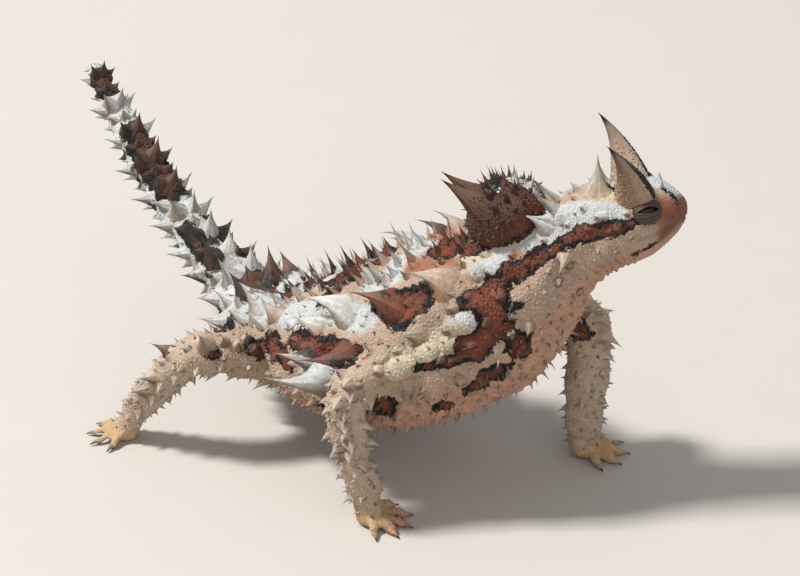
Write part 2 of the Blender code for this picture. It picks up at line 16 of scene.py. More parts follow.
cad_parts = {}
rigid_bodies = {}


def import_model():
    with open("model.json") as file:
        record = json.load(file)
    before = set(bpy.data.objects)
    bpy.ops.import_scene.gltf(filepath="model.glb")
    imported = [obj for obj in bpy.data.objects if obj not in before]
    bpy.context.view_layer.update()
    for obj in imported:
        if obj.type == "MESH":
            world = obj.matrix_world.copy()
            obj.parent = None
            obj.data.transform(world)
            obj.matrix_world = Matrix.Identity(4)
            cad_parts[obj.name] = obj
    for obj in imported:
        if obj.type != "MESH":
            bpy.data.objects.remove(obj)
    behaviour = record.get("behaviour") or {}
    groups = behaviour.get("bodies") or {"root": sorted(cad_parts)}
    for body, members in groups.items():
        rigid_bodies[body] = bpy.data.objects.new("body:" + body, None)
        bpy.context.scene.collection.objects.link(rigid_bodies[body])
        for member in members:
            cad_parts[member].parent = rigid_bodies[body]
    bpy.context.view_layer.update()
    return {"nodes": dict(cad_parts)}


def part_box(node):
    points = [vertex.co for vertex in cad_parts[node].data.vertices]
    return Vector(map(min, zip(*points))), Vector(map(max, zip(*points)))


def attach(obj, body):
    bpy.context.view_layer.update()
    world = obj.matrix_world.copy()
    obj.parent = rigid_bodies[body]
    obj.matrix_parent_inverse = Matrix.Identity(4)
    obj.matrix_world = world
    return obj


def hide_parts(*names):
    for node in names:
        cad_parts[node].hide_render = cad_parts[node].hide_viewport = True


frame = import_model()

print("nodes in the frame:", len(frame["nodes"]))

# %% [markdown]
# ## The animal's sizes
# The body is read at stations from the tip of the tail to the snout: place, half width, rise and
# drop. The limbs have one radius at each station. The same few rows drive skin, thorns and scales,
# so everything sits on one surface.

# %% Driving sizes
MM = 0.001
SPINE = [
    (-88.5, 36.0, 50.4, 1.5, 1.5, 1.4),
    (-82.6, 32.0, 45.7, 2.4, 2.4, 2.2),
    (-76.3, 28.3, 41.0, 3.0, 3.0, 2.8),
    (-69.8, 24.5, 36.3, 3.4, 3.4, 3.2),
    (-61.5, 20.0, 31.0, 3.8, 3.8, 3.5),
    (-52.0, 15.0, 26.2, 4.4, 4.2, 3.9),
    (-41.0, 9.0, 22.8, 5.8, 5.2, 4.8),
    (-33.5, 4.6, 21.2, 7.8, 6.8, 6.4),
    (-27.5, 1.3, 20.4, 10.2, 8.6, 8.4),
    (-20.0, -0.8, 20.9, 13.8, 11.0, 10.8),
    (-11.0, -2.5, 22.8, 17.6, 13.6, 14.0),
    (0.0, -4.0, 26.4, 20.4, 16.4, 16.6),
    (11.0, -5.0, 32.2, 19.6, 17.2, 16.8),
    (20.0, -4.5, 38.6, 15.8, 15.8, 16.4),
    (27.0, -2.5, 45.0, 11.2, 12.0, 14.0),
    (32.5, 0.0, 50.5, 8.8, 9.6, 9.8),
    (37.0, 2.5, 55.0, 8.0, 9.0, 8.2),
    (41.0, 4.6, 57.3, 8.1, 8.9, 8.2),
    (44.5, 6.4, 58.6, 8.4, 8.0, 8.2),
    (48.3, 8.5, 59.6, 7.6, 7.6, 7.2),
    (51.2, 10.1, 59.9, 5.6, 5.8, 5.6),
    (53.2, 11.3, 59.8, 3.6, 3.6, 3.8),
    (54.3, 11.9, 59.6, 1.8, 1.6, 1.8),
]
ARM_RIGHT = [
    (16, -12, 34.5, 5.4),
    (9, -21.5, 32.5, 4.7),
    (2.4, -28.2, 28.5, 4.1),
    (3, -29, 17, 3.5),
    (6, -28, 5, 3.2),
]
ARM_LEFT = [
    (24, 3, 37, 5.6),
    (29, 9.5, 34, 5.0),
    (34, 13.2, 28.5, 4.5),
    (35, 12.6, 17, 4.0),
    (34.6, 11.8, 5, 3.4),
]
LEG_RIGHT = [
    (-22, -7, 19, 6),
    (-29, -15, 22, 4.5),
    (-35.5, -20.5, 22.5, 3.8),
    (-43.5, -21, 14, 3.1),
    (-50, -21, 5, 2.7),
]
LEG_LEFT = [
    (-22, 6, 18, 5.9),
    (-21, 15, 17.5, 4.6),
    (-18.5, 22, 15, 3.8),
    (-17, 26.5, 9.5, 3.2),
    (-16.5, 28.5, 4.5, 2.8),
]
TOE_HEADINGS = (5, 20, 200, 120)
HIPS, SHOULDERS, HEAD_START = 8.0, 14.6, 17.0
KNOB_CENTRE, KNOB_HALF, KNOB_PITCH = np.array((23.4, -2.0, 58.6)), np.array((8.2, 7.0, 7.3)), 38.0
KNOB_HORN_LENGTH, KNOB_HORN_BASE = 11.5, 4.4
KNOB_HORN_ROOT, KNOB_HORN_WAY = np.array((-3.6, 1.6, 1.8)), np.array((-0.8, 0.0, 0.6))
EYE_STATION, EYE_ANGLE, EYE_RADIUS, EYE_DEPTH, LID_RADIUS = 18.85, 146.0, 2.35, 1.55, 2.95
TOE_LENGTH, TOE_RADIUS, CLAW_LENGTH, CLAW_BASE = 3.3, 1.0, 1.9, 0.62
TOES = ((-62, 0.75), (-30, 1.0), (0, 1.1), (30, 1.0), (64, 0.75))
VOXEL = 0.51
UNMARKED = -20.0  # the depth of a place that is far outside every blotch
print("stations along the body:", len(SPINE))

# %% [markdown]
# ## One form, read for many places at once
# A form is a bent tube. It answers two questions: where is the surface at a station and an angle,
# and at which station and angle is a given point. The second one lets markings be written in the
# animal's own terms, such as station and angle, and then be painted on any mesh.


# %% The form
def unit(v):
    return v / np.linalg.norm(v, axis=-1, keepdims=True)


def dot(a, b):
    return (a * b).sum(-1)


class Form:
    """A rounded form swept along stations. 0 degrees is the side direction and 90 is up."""

    def __init__(self, stations, across=None):
        rows = [r if len(r) == 6 else (*r[:3], r[3], r[3], r[3]) for r in stations]
        self.rows = np.array(rows, float)
        self.across = across
        self.last = len(rows) - 1

    def row(self, t):
        t = np.atleast_1d(np.asarray(t, float))
        i = np.clip(np.floor(t).astype(int), 0, self.last - 1)
        u = (t - i)[:, None]
        p1, p2 = self.rows[i], self.rows[i + 1]
        p0 = np.where((i > 0)[:, None], self.rows[np.maximum(i - 1, 0)], 2 * p1 - p2)
        inside = (i + 2 <= self.last)[:, None]
        p3 = np.where(inside, self.rows[np.minimum(i + 2, self.last)], 2 * p2 - p1)
        bend = (2 * p0 - 5 * p1 + 4 * p2 - p3) * u**2 + (3 * p1 - p0 - 3 * p2 + p3) * u**3
        return 0.5 * (2 * p1 + (p2 - p0) * u + bend)

    def frame(self, t):
        step = 0.01
        t = np.atleast_1d(np.asarray(t, float))
        along = unit(self.row(t + step)[:, :3] - self.row(t - step)[:, :3])
        if self.across is None:
            side = np.cross([0.0, 0.0, 1.0], along)
        else:
            side = np.tile(self.across, (len(t), 1))
        side = unit(side - dot(side, along)[:, None] * along)
        return self.row(t)[:, :3], along, side, np.cross(along, side)

    def point(self, t, angle, scale=1.0):
        centre, _, side, up = self.frame(t)
        half, rise, drop = self.row(t)[:, 3:].T
        c, s = np.cos(np.radians(angle)), np.sin(np.radians(angle))
        out = side * (half * c)[:, None] + up * (np.where(s > 0, rise, drop) * s)[:, None]
        return centre + out * np.reshape(scale, (-1, 1))

    def axes(self, t, angle):
        """The surface point, its normal, the direction along and the direction round."""
        t, angle = np.atleast_1d(np.asarray(t, float)), np.atleast_1d(np.asarray(angle, float))
        here = self.point(t, angle)
        run = self.point(t + 0.03, angle) - self.point(t - 0.03, angle)
        turn = self.point(t, angle + 2.0) - self.point(t, angle - 2.0)
        normal = unit(np.cross(turn, run))
        normal *= np.sign(dot(normal, here - self.row(t)[:, :3]))[:, None]
        along = self.frame(t)[1]
        along = unit(along - dot(along, normal)[:, None] * normal)
        return here, normal, along, np.cross(normal, along)

    def places(self, start, end, spacing):
        """Stations from start to end, spaced evenly in mm along the axis."""
        ts = np.linspace(start, end, 200)
        run = np.concatenate([[0], np.cumsum(np.linalg.norm(np.diff(self.row(ts)[:, :3], axis=0), axis=1))])
        count = max(2, round(run[-1] / spacing) + 1)
        return np.interp(np.linspace(0, run[-1], count), run, ts)

    def read(self, points):
        """The station, the angle and the share of the way from axis to surface of each point."""
        ts = np.linspace(0, self.last, 12 * self.last + 1)
        centres = self.row(ts)[:, :3]
        nearest = np.empty(len(points), int)
        block = 6000
        for first in range(0, len(points), block):
            away = points[first : first + block, None] - centres[None]
            nearest[first : first + block] = np.argmin(dot(away, away), axis=1)
        t = ts[nearest]
        for _ in range(2):
            centre, along, side, up = self.frame(t)
            speed = np.linalg.norm(self.row(t + 0.01)[:, :3] - self.row(t - 0.01)[:, :3], axis=1) / 0.02
            t = np.clip(t + 0.8 * dot(points - centre, along) / speed, 0, self.last)
        centre, along, side, up = self.frame(t)
        half, rise, drop = self.row(t)[:, 3:].T
        away = points - centre
        across, tall = dot(away, side) / half, dot(away, up)
        tall = tall / np.where(tall > 0, rise, drop)
        past = np.abs(dot(away, along)) / half
        return t, np.degrees(np.arctan2(tall, across)) % 360, np.hypot(np.hypot(across, tall), past)


def limb(stations):
    """A limb's form, whose side direction is square to the plane that it bends in."""
    hip, knee, ankle = (np.array(stations[i][:3], float) for i in (0, 2, 4))
    return Form(stations, unit(np.cross(knee - hip, ankle - knee)))


BODY = Form(SPINE)
LIMBS = [limb(rows) for rows in (ARM_RIGHT, ARM_LEFT, LEG_RIGHT, LEG_LEFT)]
print("forms:", 1 + len(LIMBS))

# %% [markdown]
# ## Where the frame lies
# The solids are centred on the floor, and the tables above are not. The right eye is a ball at a
# known place in the tables, so the middle of its box gives the step from one to the other.


# %% Line up with the frame
def eye_place(angle):
    """The middle of an eyeball, and its axes: forward, up and outward."""
    spot, normal, along, around = (a[0] for a in BODY.axes(EYE_STATION, angle))
    up = around * np.sign(around[2])
    return spot - normal * EYE_DEPTH, along, up, normal


low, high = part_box("eye_right")
SHIFT = (np.array(low) + np.array(high)) / 2 / MM - eye_place(EYE_ANGLE)[0]
print("step from the tables to the frame, mm:", SHIFT.round(2))

# %% [markdown]
# ## Markings, written on the form
# A blotch is a chain of places with radii, so one rule draws spots, ovals and stripes. Those of the
# body are given once for the right side and mirrored, and each limb has its own. A vertex stores how
# deep it lies inside a blotch in mm, and the shader turns that depth into a black edge and a brown
# middle.

# %% The blotches
BLOTCHES = [
    [
        (18.5, 156, 0.9), (17.6, 158, 1.5), (16.5, 157, 1.7),
        (15.7, 148, 1.5), (15.1, 144, 1.9), (14.3, 143, 2.6),
    ],
    [(14.0, 147, 2.6), (13.6, 158, 4.3), (13.4, 174, 4.2), (13.1, 184, 2.6)],
    [(12.0, 132, 2.0), (12.4, 141, 3.9), (12.75, 135, 3.0)],
    [(10.1, 148, 2.4), (10.9, 153, 2.4), (11.5, 160, 2.2)],
    [(10.5, 119, 1.6), (10.9, 110, 1.6)],
    [(10.3, 102, 1.6), (11.2, 101, 2.6)],
    [(13.1, 100, 1.8), (13.35, 84, 3.0)],
    [(13.85, 80, 2.8), (14.0, 100, 2.2)],
    [(11.5, 88, 3.2)],
    [(10.6, 88, 2.6)],
    [(9.7, 92, 3.4)],
    [(9.0, 104, 2.2)],
    [(9.3, 156, 2.6), (9.9, 168, 2.2)],
    [(13.6, 199, 2.6), (13.5, 208, 1.6)],
    [(13.1, 208, 2.2), (12.7, 213, 1.7)],
    [(14.1, 174, 0.9)],
    [(11.6, 200, 2.6), (11.5, 209, 1.7)],
    [(12.2, 216, 1.5)],
    [(10.5, 204, 2.4)],
    [(12.4, 180, 1.2), (13.0, 186, 1.2)],
    [(19.7, 108, -0.2), (20.1, 116, 0.15), (20.4, 126, -0.2)],
    [(19.0, 116, 0.1), (19.1, 128, 0.0)],
    [(17.7, 98, 0.4), (18.2, 108, 0.4)],
    [(17.9, 206, 0.1), (18.5, 201, 0.4), (19.3, 197, 0.1)],
]
TAIL_BLOTCHES = [
    [(0.6, 110, 2.6), (0.85, 110, 3.4)],
    [(2.35, 92, 2.9), (3.1, 100, 4.2), (3.85, 96, 3.6)],
    [(4.8, 134, 1.9), (5.7, 136, 2.7)],
    [(5.3, 76, 1.4)],
    [(6.75, 104, 3.0), (7.3, 108, 3.2)],
    [(8.05, 108, 2.6)],
    [(2.6, 200, 1.0)],
    [(3.3, 206, 1.2)],
    [(3.9, 196, 1.3)],
    [(4.9, 200, 1.5)],
    [(5.6, 198, 1.8)],
    [(6.5, 196, 1.8)],
    [(7.5, 172, 1.8), (8.1, 166, 2.0)],
]
WHITE = [
    [
        (17.5, 141, 2.6), (16.5, 132, 3.2), (15.9, 124, 3.2),
        (15.2, 114, 3.4), (14.6, 116, 3.8), (14.0, 122, 3.2),
    ],
    [(11.75, 118, 2.7), (12.3, 112, 3.1), (12.65, 106, 2.6)],
    [(12.2, 99, 2.8), (12.6, 88, 3.2)],
    [(9.6, 128, 3.2), (10.95, 130, 2.9), (11.75, 141, 2.7)],
    [(11.05, 86, 2.4)],
    [(10.1, 84, 2.4)],
    [(9.3, 84, 2.2), (8.4, 120, 6.0), (6.0, 128, 9.0), (0.0, 120, 9.0)],
    [(13.2, 162, 2.2)],
    [(10.5, 170, 3.0), (11.2, 172, 2.6)],
    [(17.35, 97, 2.2)],
    [(19.2, 94, 1.6), (20.1, 98, 1.5), (20.9, 104, 0.8)],
]
CREAM = [
    [(11.4, 175, 2.4), (12.0, 173, 2.6), (12.7, 168, 2.4), (13.1, 166, 1.8)],
    [(13.5, 114, 2.4), (14.0, 110, 2.2)],
    [(17.2, 107, 1.5), (17.8, 112, 1.5)],
]
WARM = [[(12.6, 110, 2.2), (13.3, 112, 2.4)], [(19.5, 150, 2.6)], [(14.6, 128, 1.2)]]
# The brown smear over the snout, and the swellings of the shoulder. The first four swellings stay
# pale where a dark patch runs past them.
MASK = [[(21.4, 130, 2.2), (20.6, 152, 2.4), (19.9, 178, 1.8), (19.4, 194, 1.2)]]
MOUNDS = [
    [(13.2, 162, 2.5)],
    [(12.15, 176, 2.3)],
    [(12.55, 172, 2.0)],
    [(11.6, 179, 2.3)],
    [(12.9, 173, 1.6)],
    [(11.95, 164, 1.7)],
    [(12.5, 160, 1.6)],
    [(11.2, 188, 1.8)],
    [(13.75, 128, 1.8)],
    [(10.9, 150, 1.6)],
]
MOUND_HEIGHT, PALE_MOUNDS = 0.62, 4  # the height is a share of the radius
LIMB_BLOTCHES = [
    [[(0.9, 40, 2.2)], [(1.7, 110, 1.6)]],
    [[(1.2, 195, 2.8), (1.8, 205, 2.4)], [(1.5, 40, 2.2)]],
    [[(1.55, 50, 1.3)], [(0.7, 70, 2.4)], [(1.2, 160, 2.0)], [(2.3, 110, 0.9)]],
    [[(0.9, 90, 2.4)], [(1.6, 60, 1.4)], [(1.4, 200, 1.8)]],
]
print("blotches on one side:", len(BLOTCHES) + len(TAIL_BLOTCHES))


# %% Depth inside a chain
def depth_inside(form, chains, t, angle):
    """How deep each place lies inside the nearest chain, in mm; negative outside."""
    rows = form.row(t)
    step = np.linalg.norm(form.row(t + 0.05)[:, :3] - form.row(t - 0.05)[:, :3], axis=1) / 0.1
    degree = math.pi / 180 * rows[:, 3:].mean(1)
    deepest = np.full(len(t), UNMARKED)
    for chain in chains:
        for first, second in zip(chain, chain[1:] or chain):
            run = np.stack([(second[0] - first[0]) * step, (second[1] - first[1]) * degree], 1)
            bend = (angle - first[1] + 180) % 360 - 180
            away = np.stack([(t - first[0]) * step, bend * degree], 1)
            share = np.clip(dot(away, run) / np.maximum(dot(run, run), 1e-6), 0, 1)
            radius = first[2] + (second[2] - first[2]) * share
            deepest = np.maximum(deepest, radius - np.linalg.norm(away - run * share[:, None], axis=1))
    return deepest


def both_sides(form, chains, t, angle):
    right = depth_inside(form, chains, t, angle)
    return np.maximum(right, depth_inside(form, chains, t, (180 - angle) % 360))


def smooth(value, low, high):
    share = np.clip((value - low) / (high - low), 0, 1)
    return share * share * (3 - 2 * share)


# %% [markdown]
# ## Which part a point belongs to
# Every point is read against the body, the knob and the four limbs, and belongs to the one with the
# smallest share of the way from axis to surface. From that come its markings and its place on the
# unwrap.


# %% Read points
def turn_matrix(heading, pitch):
    a, b = math.radians(heading), math.radians(pitch)
    about_z = np.array([[math.cos(a), -math.sin(a), 0], [math.sin(a), math.cos(a), 0], [0, 0, 1]])
    about_y = np.array([[math.cos(b), 0, math.sin(b)], [0, 1, 0], [-math.sin(b), 0, math.cos(b)]])
    return about_z @ about_y


nape_way = BODY.frame(14.3)[1][0]
KNOB_HEADING = math.degrees(math.atan2(nape_way[1], nape_way[0]))
KNOB_TURN = turn_matrix(KNOB_HEADING, -KNOB_PITCH)


def read_all(points):
    """Part number, station and angle of each point: 0 body, 1 knob, 2 to 5 limbs."""
    readings = [BODY.read(points)]
    ball = (points - KNOB_CENTRE) @ KNOB_TURN / KNOB_HALF
    far = np.linalg.norm(ball, axis=1)
    height = np.degrees(np.arcsin(np.clip(ball[:, 2] / np.maximum(far, 1e-6), -1, 1)))
    readings.append((height, np.degrees(np.arctan2(ball[:, 1], ball[:, 0])) % 360, far))
    readings += [form.read(points) for form in LIMBS]
    where = np.argmin(np.stack([r[2] for r in readings]), axis=0)
    pick = np.arange(len(points))
    t = np.stack([r[0] for r in readings])[where, pick]
    angle = np.stack([r[1] for r in readings])[where, pick]
    over_body = (readings[0][2] - 1) * BODY.row(readings[0][0])[:, 4]
    return where, t, angle, over_body


MARKS = ("blotch", "white", "cream", "warm", "mask", "belly", "dusk")
# The chains of each soft colour, and the depths between which it fades in, in mm.
SOFT_MARKS = {
    "white": (WHITE, -0.8, 0.8),
    "cream": (CREAM, -0.8, 0.8),
    "warm": (WARM, -1.5, 1.0),
    "mask": (MASK, -1.2, 1.0),
}


def marks_at(points):
    """The markings of each point as named arrays, and its place on the unwrap."""
    where, t, angle, over_body = read_all(points)
    marks = {name: np.zeros(len(points)) for name in MARKS}
    marks["blotch"] += UNMARKED
    body = where == 0
    bt, ba = t[body], angle[body]
    on_mound = both_sides(BODY, MOUNDS[:PALE_MOUNDS], bt, ba)
    patches = both_sides(BODY, BLOTCHES + TAIL_BLOTCHES, bt, ba)
    marks["blotch"][body] = np.minimum(patches, 0.4 - 2.0 * on_mound)
    for name, (chains, low, high) in SOFT_MARKS.items():
        marks[name][body] = smooth(both_sides(BODY, chains, bt, ba), low, high)
    marks["belly"][body] = smooth(-np.sin(np.radians(ba)), 0.15, 0.6) * smooth(bt, 7, 9)
    marks["dusk"][body] = 1 - smooth(bt, 6.0, 8.5)
    knob = where == 1
    tall, turned = np.radians(t[knob]), np.radians(angle[knob])
    forward, aside = np.cos(tall) * np.cos(turned), np.cos(tall) * np.sin(turned)
    strip = 0.34 - np.abs(aside) + 0.16 * np.sin(9 * forward + 5 * aside) + 0.1 * np.sin(17 * forward - 3)
    marks["white"][knob] = smooth(strip, 0.0, 0.12) * smooth(forward, -0.35, 0.1)
    marks["blotch"][knob] = over_body[knob] - 0.4 - 9 * marks["white"][knob]
    marks["dusk"][knob] = smooth(t[knob], -12, 20)
    for k, form in enumerate(LIMBS):
        own = where == k + 2
        marks["blotch"][own] = depth_inside(form, LIMB_BLOTCHES[k], t[own], angle[own])
        marks["cream"][own] = 0.4
        marks["white"][own] = 0.08
        marks["warm"][own] = 0.12 + 0.18 * (1 - smooth(t[own], 1.0, 2.0))
    u, v = 0.02 + 0.96 * t / BODY.last, 0.40 + 0.58 * angle / 360
    u = np.where(knob, 0.80 + 0.18 * angle / 360, u)
    v = np.where(knob, 0.02 + 0.34 * (t + 90) / 180, v)
    u = np.where(where > 1, 0.02 + 0.19 * (where - 2) + 0.17 * t / 4, u)
    v = np.where(where > 1, 0.02 + 0.34 * angle / 360, v)
    return where, marks, np.stack([u, v], 1), t, angle


print("knob heading, degrees:", round(KNOB_HEADING, 1))


# %% [markdown]
# ## Mesh helpers
# Operators work on what is selected, so each piece starts from a clean selection. Arrays go into a
# mesh in one step, because a loop over a hundred thousand vertices would be slow.


# %% Helpers
def clear_selection():
    bpy.ops.object.select_all(action="DESELECT")


def read_vertices(obj, what="co"):
    """One row for each vertex: its place in metres, or its normal."""
    values = np.empty(len(obj.data.vertices) * 3)
    obj.data.vertices.foreach_get(what, values)
    return values.reshape(-1, 3)


def get_points(obj):
    """The vertices of an object in the tables' millimetres."""
    return read_vertices(obj) / MM - SHIFT


def set_points(obj, points):
    obj.data.vertices.foreach_set("co", ((points + SHIFT) * MM).astype(np.float32).ravel())
    obj.data.update()


def apply_modifier(obj, kind, **settings):
    modifier = obj.modifiers.new(kind.lower(), kind)
    for name, value in settings.items():
        setattr(modifier, name, value)
    clear_selection()
    obj.select_set(True)
    bpy.context.view_layer.objects.active = obj
    bpy.ops.object.modifier_apply(modifier=modifier.name)


def set_attribute(mesh, name, values):
    attribute = mesh.attributes.get(name) or mesh.attributes.new(name, "FLOAT", "POINT")
    attribute.data.foreach_set("value", np.asarray(values, np.float32))


def join_all(objects, name):
    clear_selection()
    for obj in objects:
        obj.select_set(True)
    bpy.context.view_layer.objects.active = objects[0]
    bpy.ops.object.join()
    objects[0].name = name
    objects[0].data.name = name
    return objects[0]


def triangle_count(obj):
    obj.data.calc_loop_triangles()
    return len(obj.data.loop_triangles)


# %% [markdown]
# ## The skin
# The body, the knob and each limb start as a ball from Blender's own primitive. A ball's latitude
# and longitude are a station and an angle, so its vertices slide straight onto the form and both
# ends close by themselves. Later the pieces are joined and remeshed into one surface, as real skin
# has no seams.


# %% Tubes from balls
def sphere(name, sides, rings):
    """Blender's own ball, and its vertices at a radius of one."""
    clear_selection()
    bpy.ops.mesh.primitive_uv_sphere_add(segments=sides, ring_count=rings, radius=1.0)
    made = bpy.context.active_object
    made.name = name
    return made, read_vertices(made)


def tube_from_ball(name, form, first, last, rings, sides):
    tube, co = sphere(name, sides, rings)
    share = 1 - np.arccos(np.clip(co[:, 2], -1, 1)) / math.pi
    angle = np.degrees(np.arctan2(co[:, 1], co[:, 0]))
    at_pole = np.hypot(co[:, 0], co[:, 1]) < 1e-4
    t = first + (last - first) * share
    set_points(tube, form.point(t, angle, np.where(at_pole, 0.0, 1.0)))
    return tube


def ball(name, centre, half, turn, sides=24, rings=16):
    made, co = sphere(name, sides, rings)
    set_points(made, (co * np.array(half)) @ turn.T + np.array(centre))
    return made


parts = [tube_from_ball("body", BODY, 0, BODY.last, 240, 56)]
parts += [tube_from_ball("limb", form, 0, 4, 60, 28) for form in LIMBS]
parts.append(ball("knob", KNOB_CENTRE, KNOB_HALF, KNOB_TURN, 40, 28))
print("pieces of the skin so far:", len(parts))


# %% [markdown]
# ## Feet
# A foot is a palm, a heel and five toes that fan out round the way it points. Toes are short
# forms of their own, with a knuckle, and each ends in a claw.


# %% Palms and toes
def foot_layout(form, heading):
    """The palm's middle, its turn, and for each toe its rows and its claw's root and way."""
    wrist, radius = form.rows[-1, :3], form.rows[-1, 3]
    turn = turn_matrix(heading, 0)
    palm = np.array([wrist[0], wrist[1], 1.9]) + turn @ np.array([0.8, 0, 0])
    toes = []
    for spread, share in TOES:
        way = turn_matrix(heading + spread, 0) @ np.array([1.0, 0, 0])
        start, end = palm + way * radius * 0.5, palm + way * (radius * 0.95 + TOE_LENGTH * share)
        start[2], end[2] = 1.5, 0.85
        knuckle = (start + end) / 2 + np.array([0, 0, 0.55])
        rows = [(*start, TOE_RADIUS), (*knuckle, TOE_RADIUS), (*end, 0.75 * TOE_RADIUS)]
        toes.append((rows, end + way * 0.35, way))
    return wrist, radius, palm, turn, toes


claw_places = []
for form, heading in zip(LIMBS, TOE_HEADINGS):
    wrist, radius, palm, turn, toes = foot_layout(form, heading)
    parts.append(ball("palm", palm, (radius * 1.05, radius, 2.3), turn))
    heel = np.array([wrist[0], wrist[1], wrist[2] * 0.75])
    parts.append(ball("heel", heel, (radius * 0.96, radius * 0.96, wrist[2] * 0.55), turn))
    for rows, root, way in toes:
        toe = Form(rows, np.cross(way, [0, 0, 1.0]))
        parts.append(tube_from_ball("toe", toe, -0.25, 2.25, 14, 12))
        claw_places.append((root, way))
print("toes:", len(claw_places))

# %% One surface
skin = join_all(parts, "skin")
apply_modifier(skin, "REMESH", mode="VOXEL", voxel_size=VOXEL * MM, use_smooth_shade=True)
apply_modifier(skin, "SMOOTH", factor=0.5, iterations=5)
print("skin triangles:", triangle_count(skin))

# %% [markdown]
# The head shows fine folds, so its faces are split once more. Selecting by place is done on the
# vertices in object mode, and the subdivide operator then works on the selected faces.

# %% Finer head
HEAD_FROM = 17.6
points = get_points(skin)
t_body, _, share = BODY.read(points)
on_head = (t_body > HEAD_FROM) & (share < 1.3) & (points[:, 2] > 40)
bpy.ops.object.mode_set(mode="EDIT")
bpy.ops.mesh.select_mode(type="VERT")
bpy.ops.mesh.select_all(action="DESELECT")
bpy.ops.object.mode_set(mode="OBJECT")
skin.data.vertices.foreach_set("select", on_head)
bpy.ops.object.mode_set(mode="EDIT")
bpy.ops.mesh.select_mode(type="FACE")
bpy.ops.mesh.subdivide(number_cuts=1)
bpy.ops.object.mode_set(mode="OBJECT")
print("skin triangles:", triangle_count(skin))

# %% [markdown]
# ## Folds, mouth, nostrils and sockets
# These are small moves of the skin along its normal. The mouth is a groove along a line, a nostril
# is a pit, and the throat has soft folds across it. The swellings of the shoulder are low domes,
# raised before the scales are set, so that scales cover them as they cover the rest. Last, the skin
# is pushed in where each eyeball sits.

# %% Carve the skin
MOUTH = [(18.3, 182.5, 0.3), (19.3, 181.5, 0.34), (20.0, 180.5, 0.34), (21.5, 177.5, 0.3), (22.0, 180, 0.3)]
NOSTRIL = (20.5, 133.0)
GROOVE, PIT = 0.42, 0.6
FOLD_RISE, FLANK_RISE, LUMP_RISE, HEAD_LUMP_RISE, LUMP_WAVES = 0.28, 0.22, 0.13, 0.04, 9
SOCKET_DEPTH, SOCKET_RADIUS, SOCKET_REACH = 1.9, 2.7, 4.0
points = get_points(skin)
normals = read_vertices(skin, "normal")
t_body, angle, share = BODY.read(points)
head = (t_body > HEAD_START) & (share < 1.4)
below = -np.sin(np.radians(angle))
move = np.zeros(len(points))
beside = both_sides(BODY, [MOUTH], t_body, angle)
move -= np.where(head, GROOVE * smooth(beside, -0.35, 0.25), 0)
nostril = both_sides(BODY, [[(*NOSTRIL, 0.35)]], t_body, angle)
move -= np.where(head, PIT * smooth(nostril, -0.4, 0.3), 0)
throat = smooth(t_body, 14.6, 15.4) * (1 - smooth(t_body, 17.4, 18.2)) * smooth(below, -0.1, 0.5)
move += np.where(share < 1.3, FOLD_RISE * throat * np.sin(t_body * 17 + np.sin(np.radians(angle * 3))), 0)
lumps = np.zeros(len(points))
lump_rng = np.random.default_rng(3)
for _ in range(LUMP_WAVES):
    heading = unit(lump_rng.normal(0, 1, 3)) * 2 * math.pi / lump_rng.uniform(4.5, 9.0)
    lumps += np.sin(points @ heading + lump_rng.uniform(0, 6.3))
move += np.where(t_body < HEAD_START, LUMP_RISE, HEAD_LUMP_RISE) * lumps
flank = smooth(t_body, 9, 10) * (1 - smooth(t_body, 13.4, 14.2)) * smooth(below, -0.3, 0.3)
move += np.where(share < 1.2, FLANK_RISE * flank * np.sin(points[:, 0] * 1.5 + points[:, 2] * 0.9), 0)
for mound in MOUNDS:
    radius = mound[0][2]
    inward = np.clip(both_sides(BODY, [mound], t_body, angle) / radius, 0, 1)
    move += np.where(share < 1.25, MOUND_HEIGHT * radius * np.sqrt(1 - (1 - inward) ** 2), 0)
points = points + normals * move[:, None]
for side_angle in (EYE_ANGLE, 180 - EYE_ANGLE):
    centre, _, _, outward = eye_place(side_angle)
    away = points - centre
    height = away @ outward
    wide = np.sqrt(np.maximum(dot(away, away) - height**2, 0))
    near = dot(away, away) < SOCKET_REACH**2
    push = SOCKET_DEPTH * np.clip(1 - (wide / SOCKET_RADIUS) ** 2, 0, 1) * (height > 0) * near
    points = points - outward * push[:, None]
points[:, 2] = np.maximum(points[:, 2], -SHIFT[2] + 0.02)
set_points(skin, points)
print("vertices moved:", int((np.abs(move) > 0.01).sum()))

# %% Mark the skin
where, marks, _, _, _ = marks_at(get_points(skin))
for name in MARKS:
    set_attribute(skin.data, name, marks[name])
set_attribute(skin.data, "foot", smooth(-get_points(skin)[:, 2], -6.0, -1.5) * (where > 1))
skin.data.shade_smooth()
print("vertices on the body, the knob and the limbs:", np.bincount(where).tolist())

# %% [markdown]
# ## One thorn, copied many times
# A cone is cut into rings with the bisect operator. That small template holds only heights and
# turns. Each copy bends it from its root, along the skin's normal, to a tip that leans towards the
# tail, and a profile makes it a flared thorn, a full horn or a low dome.


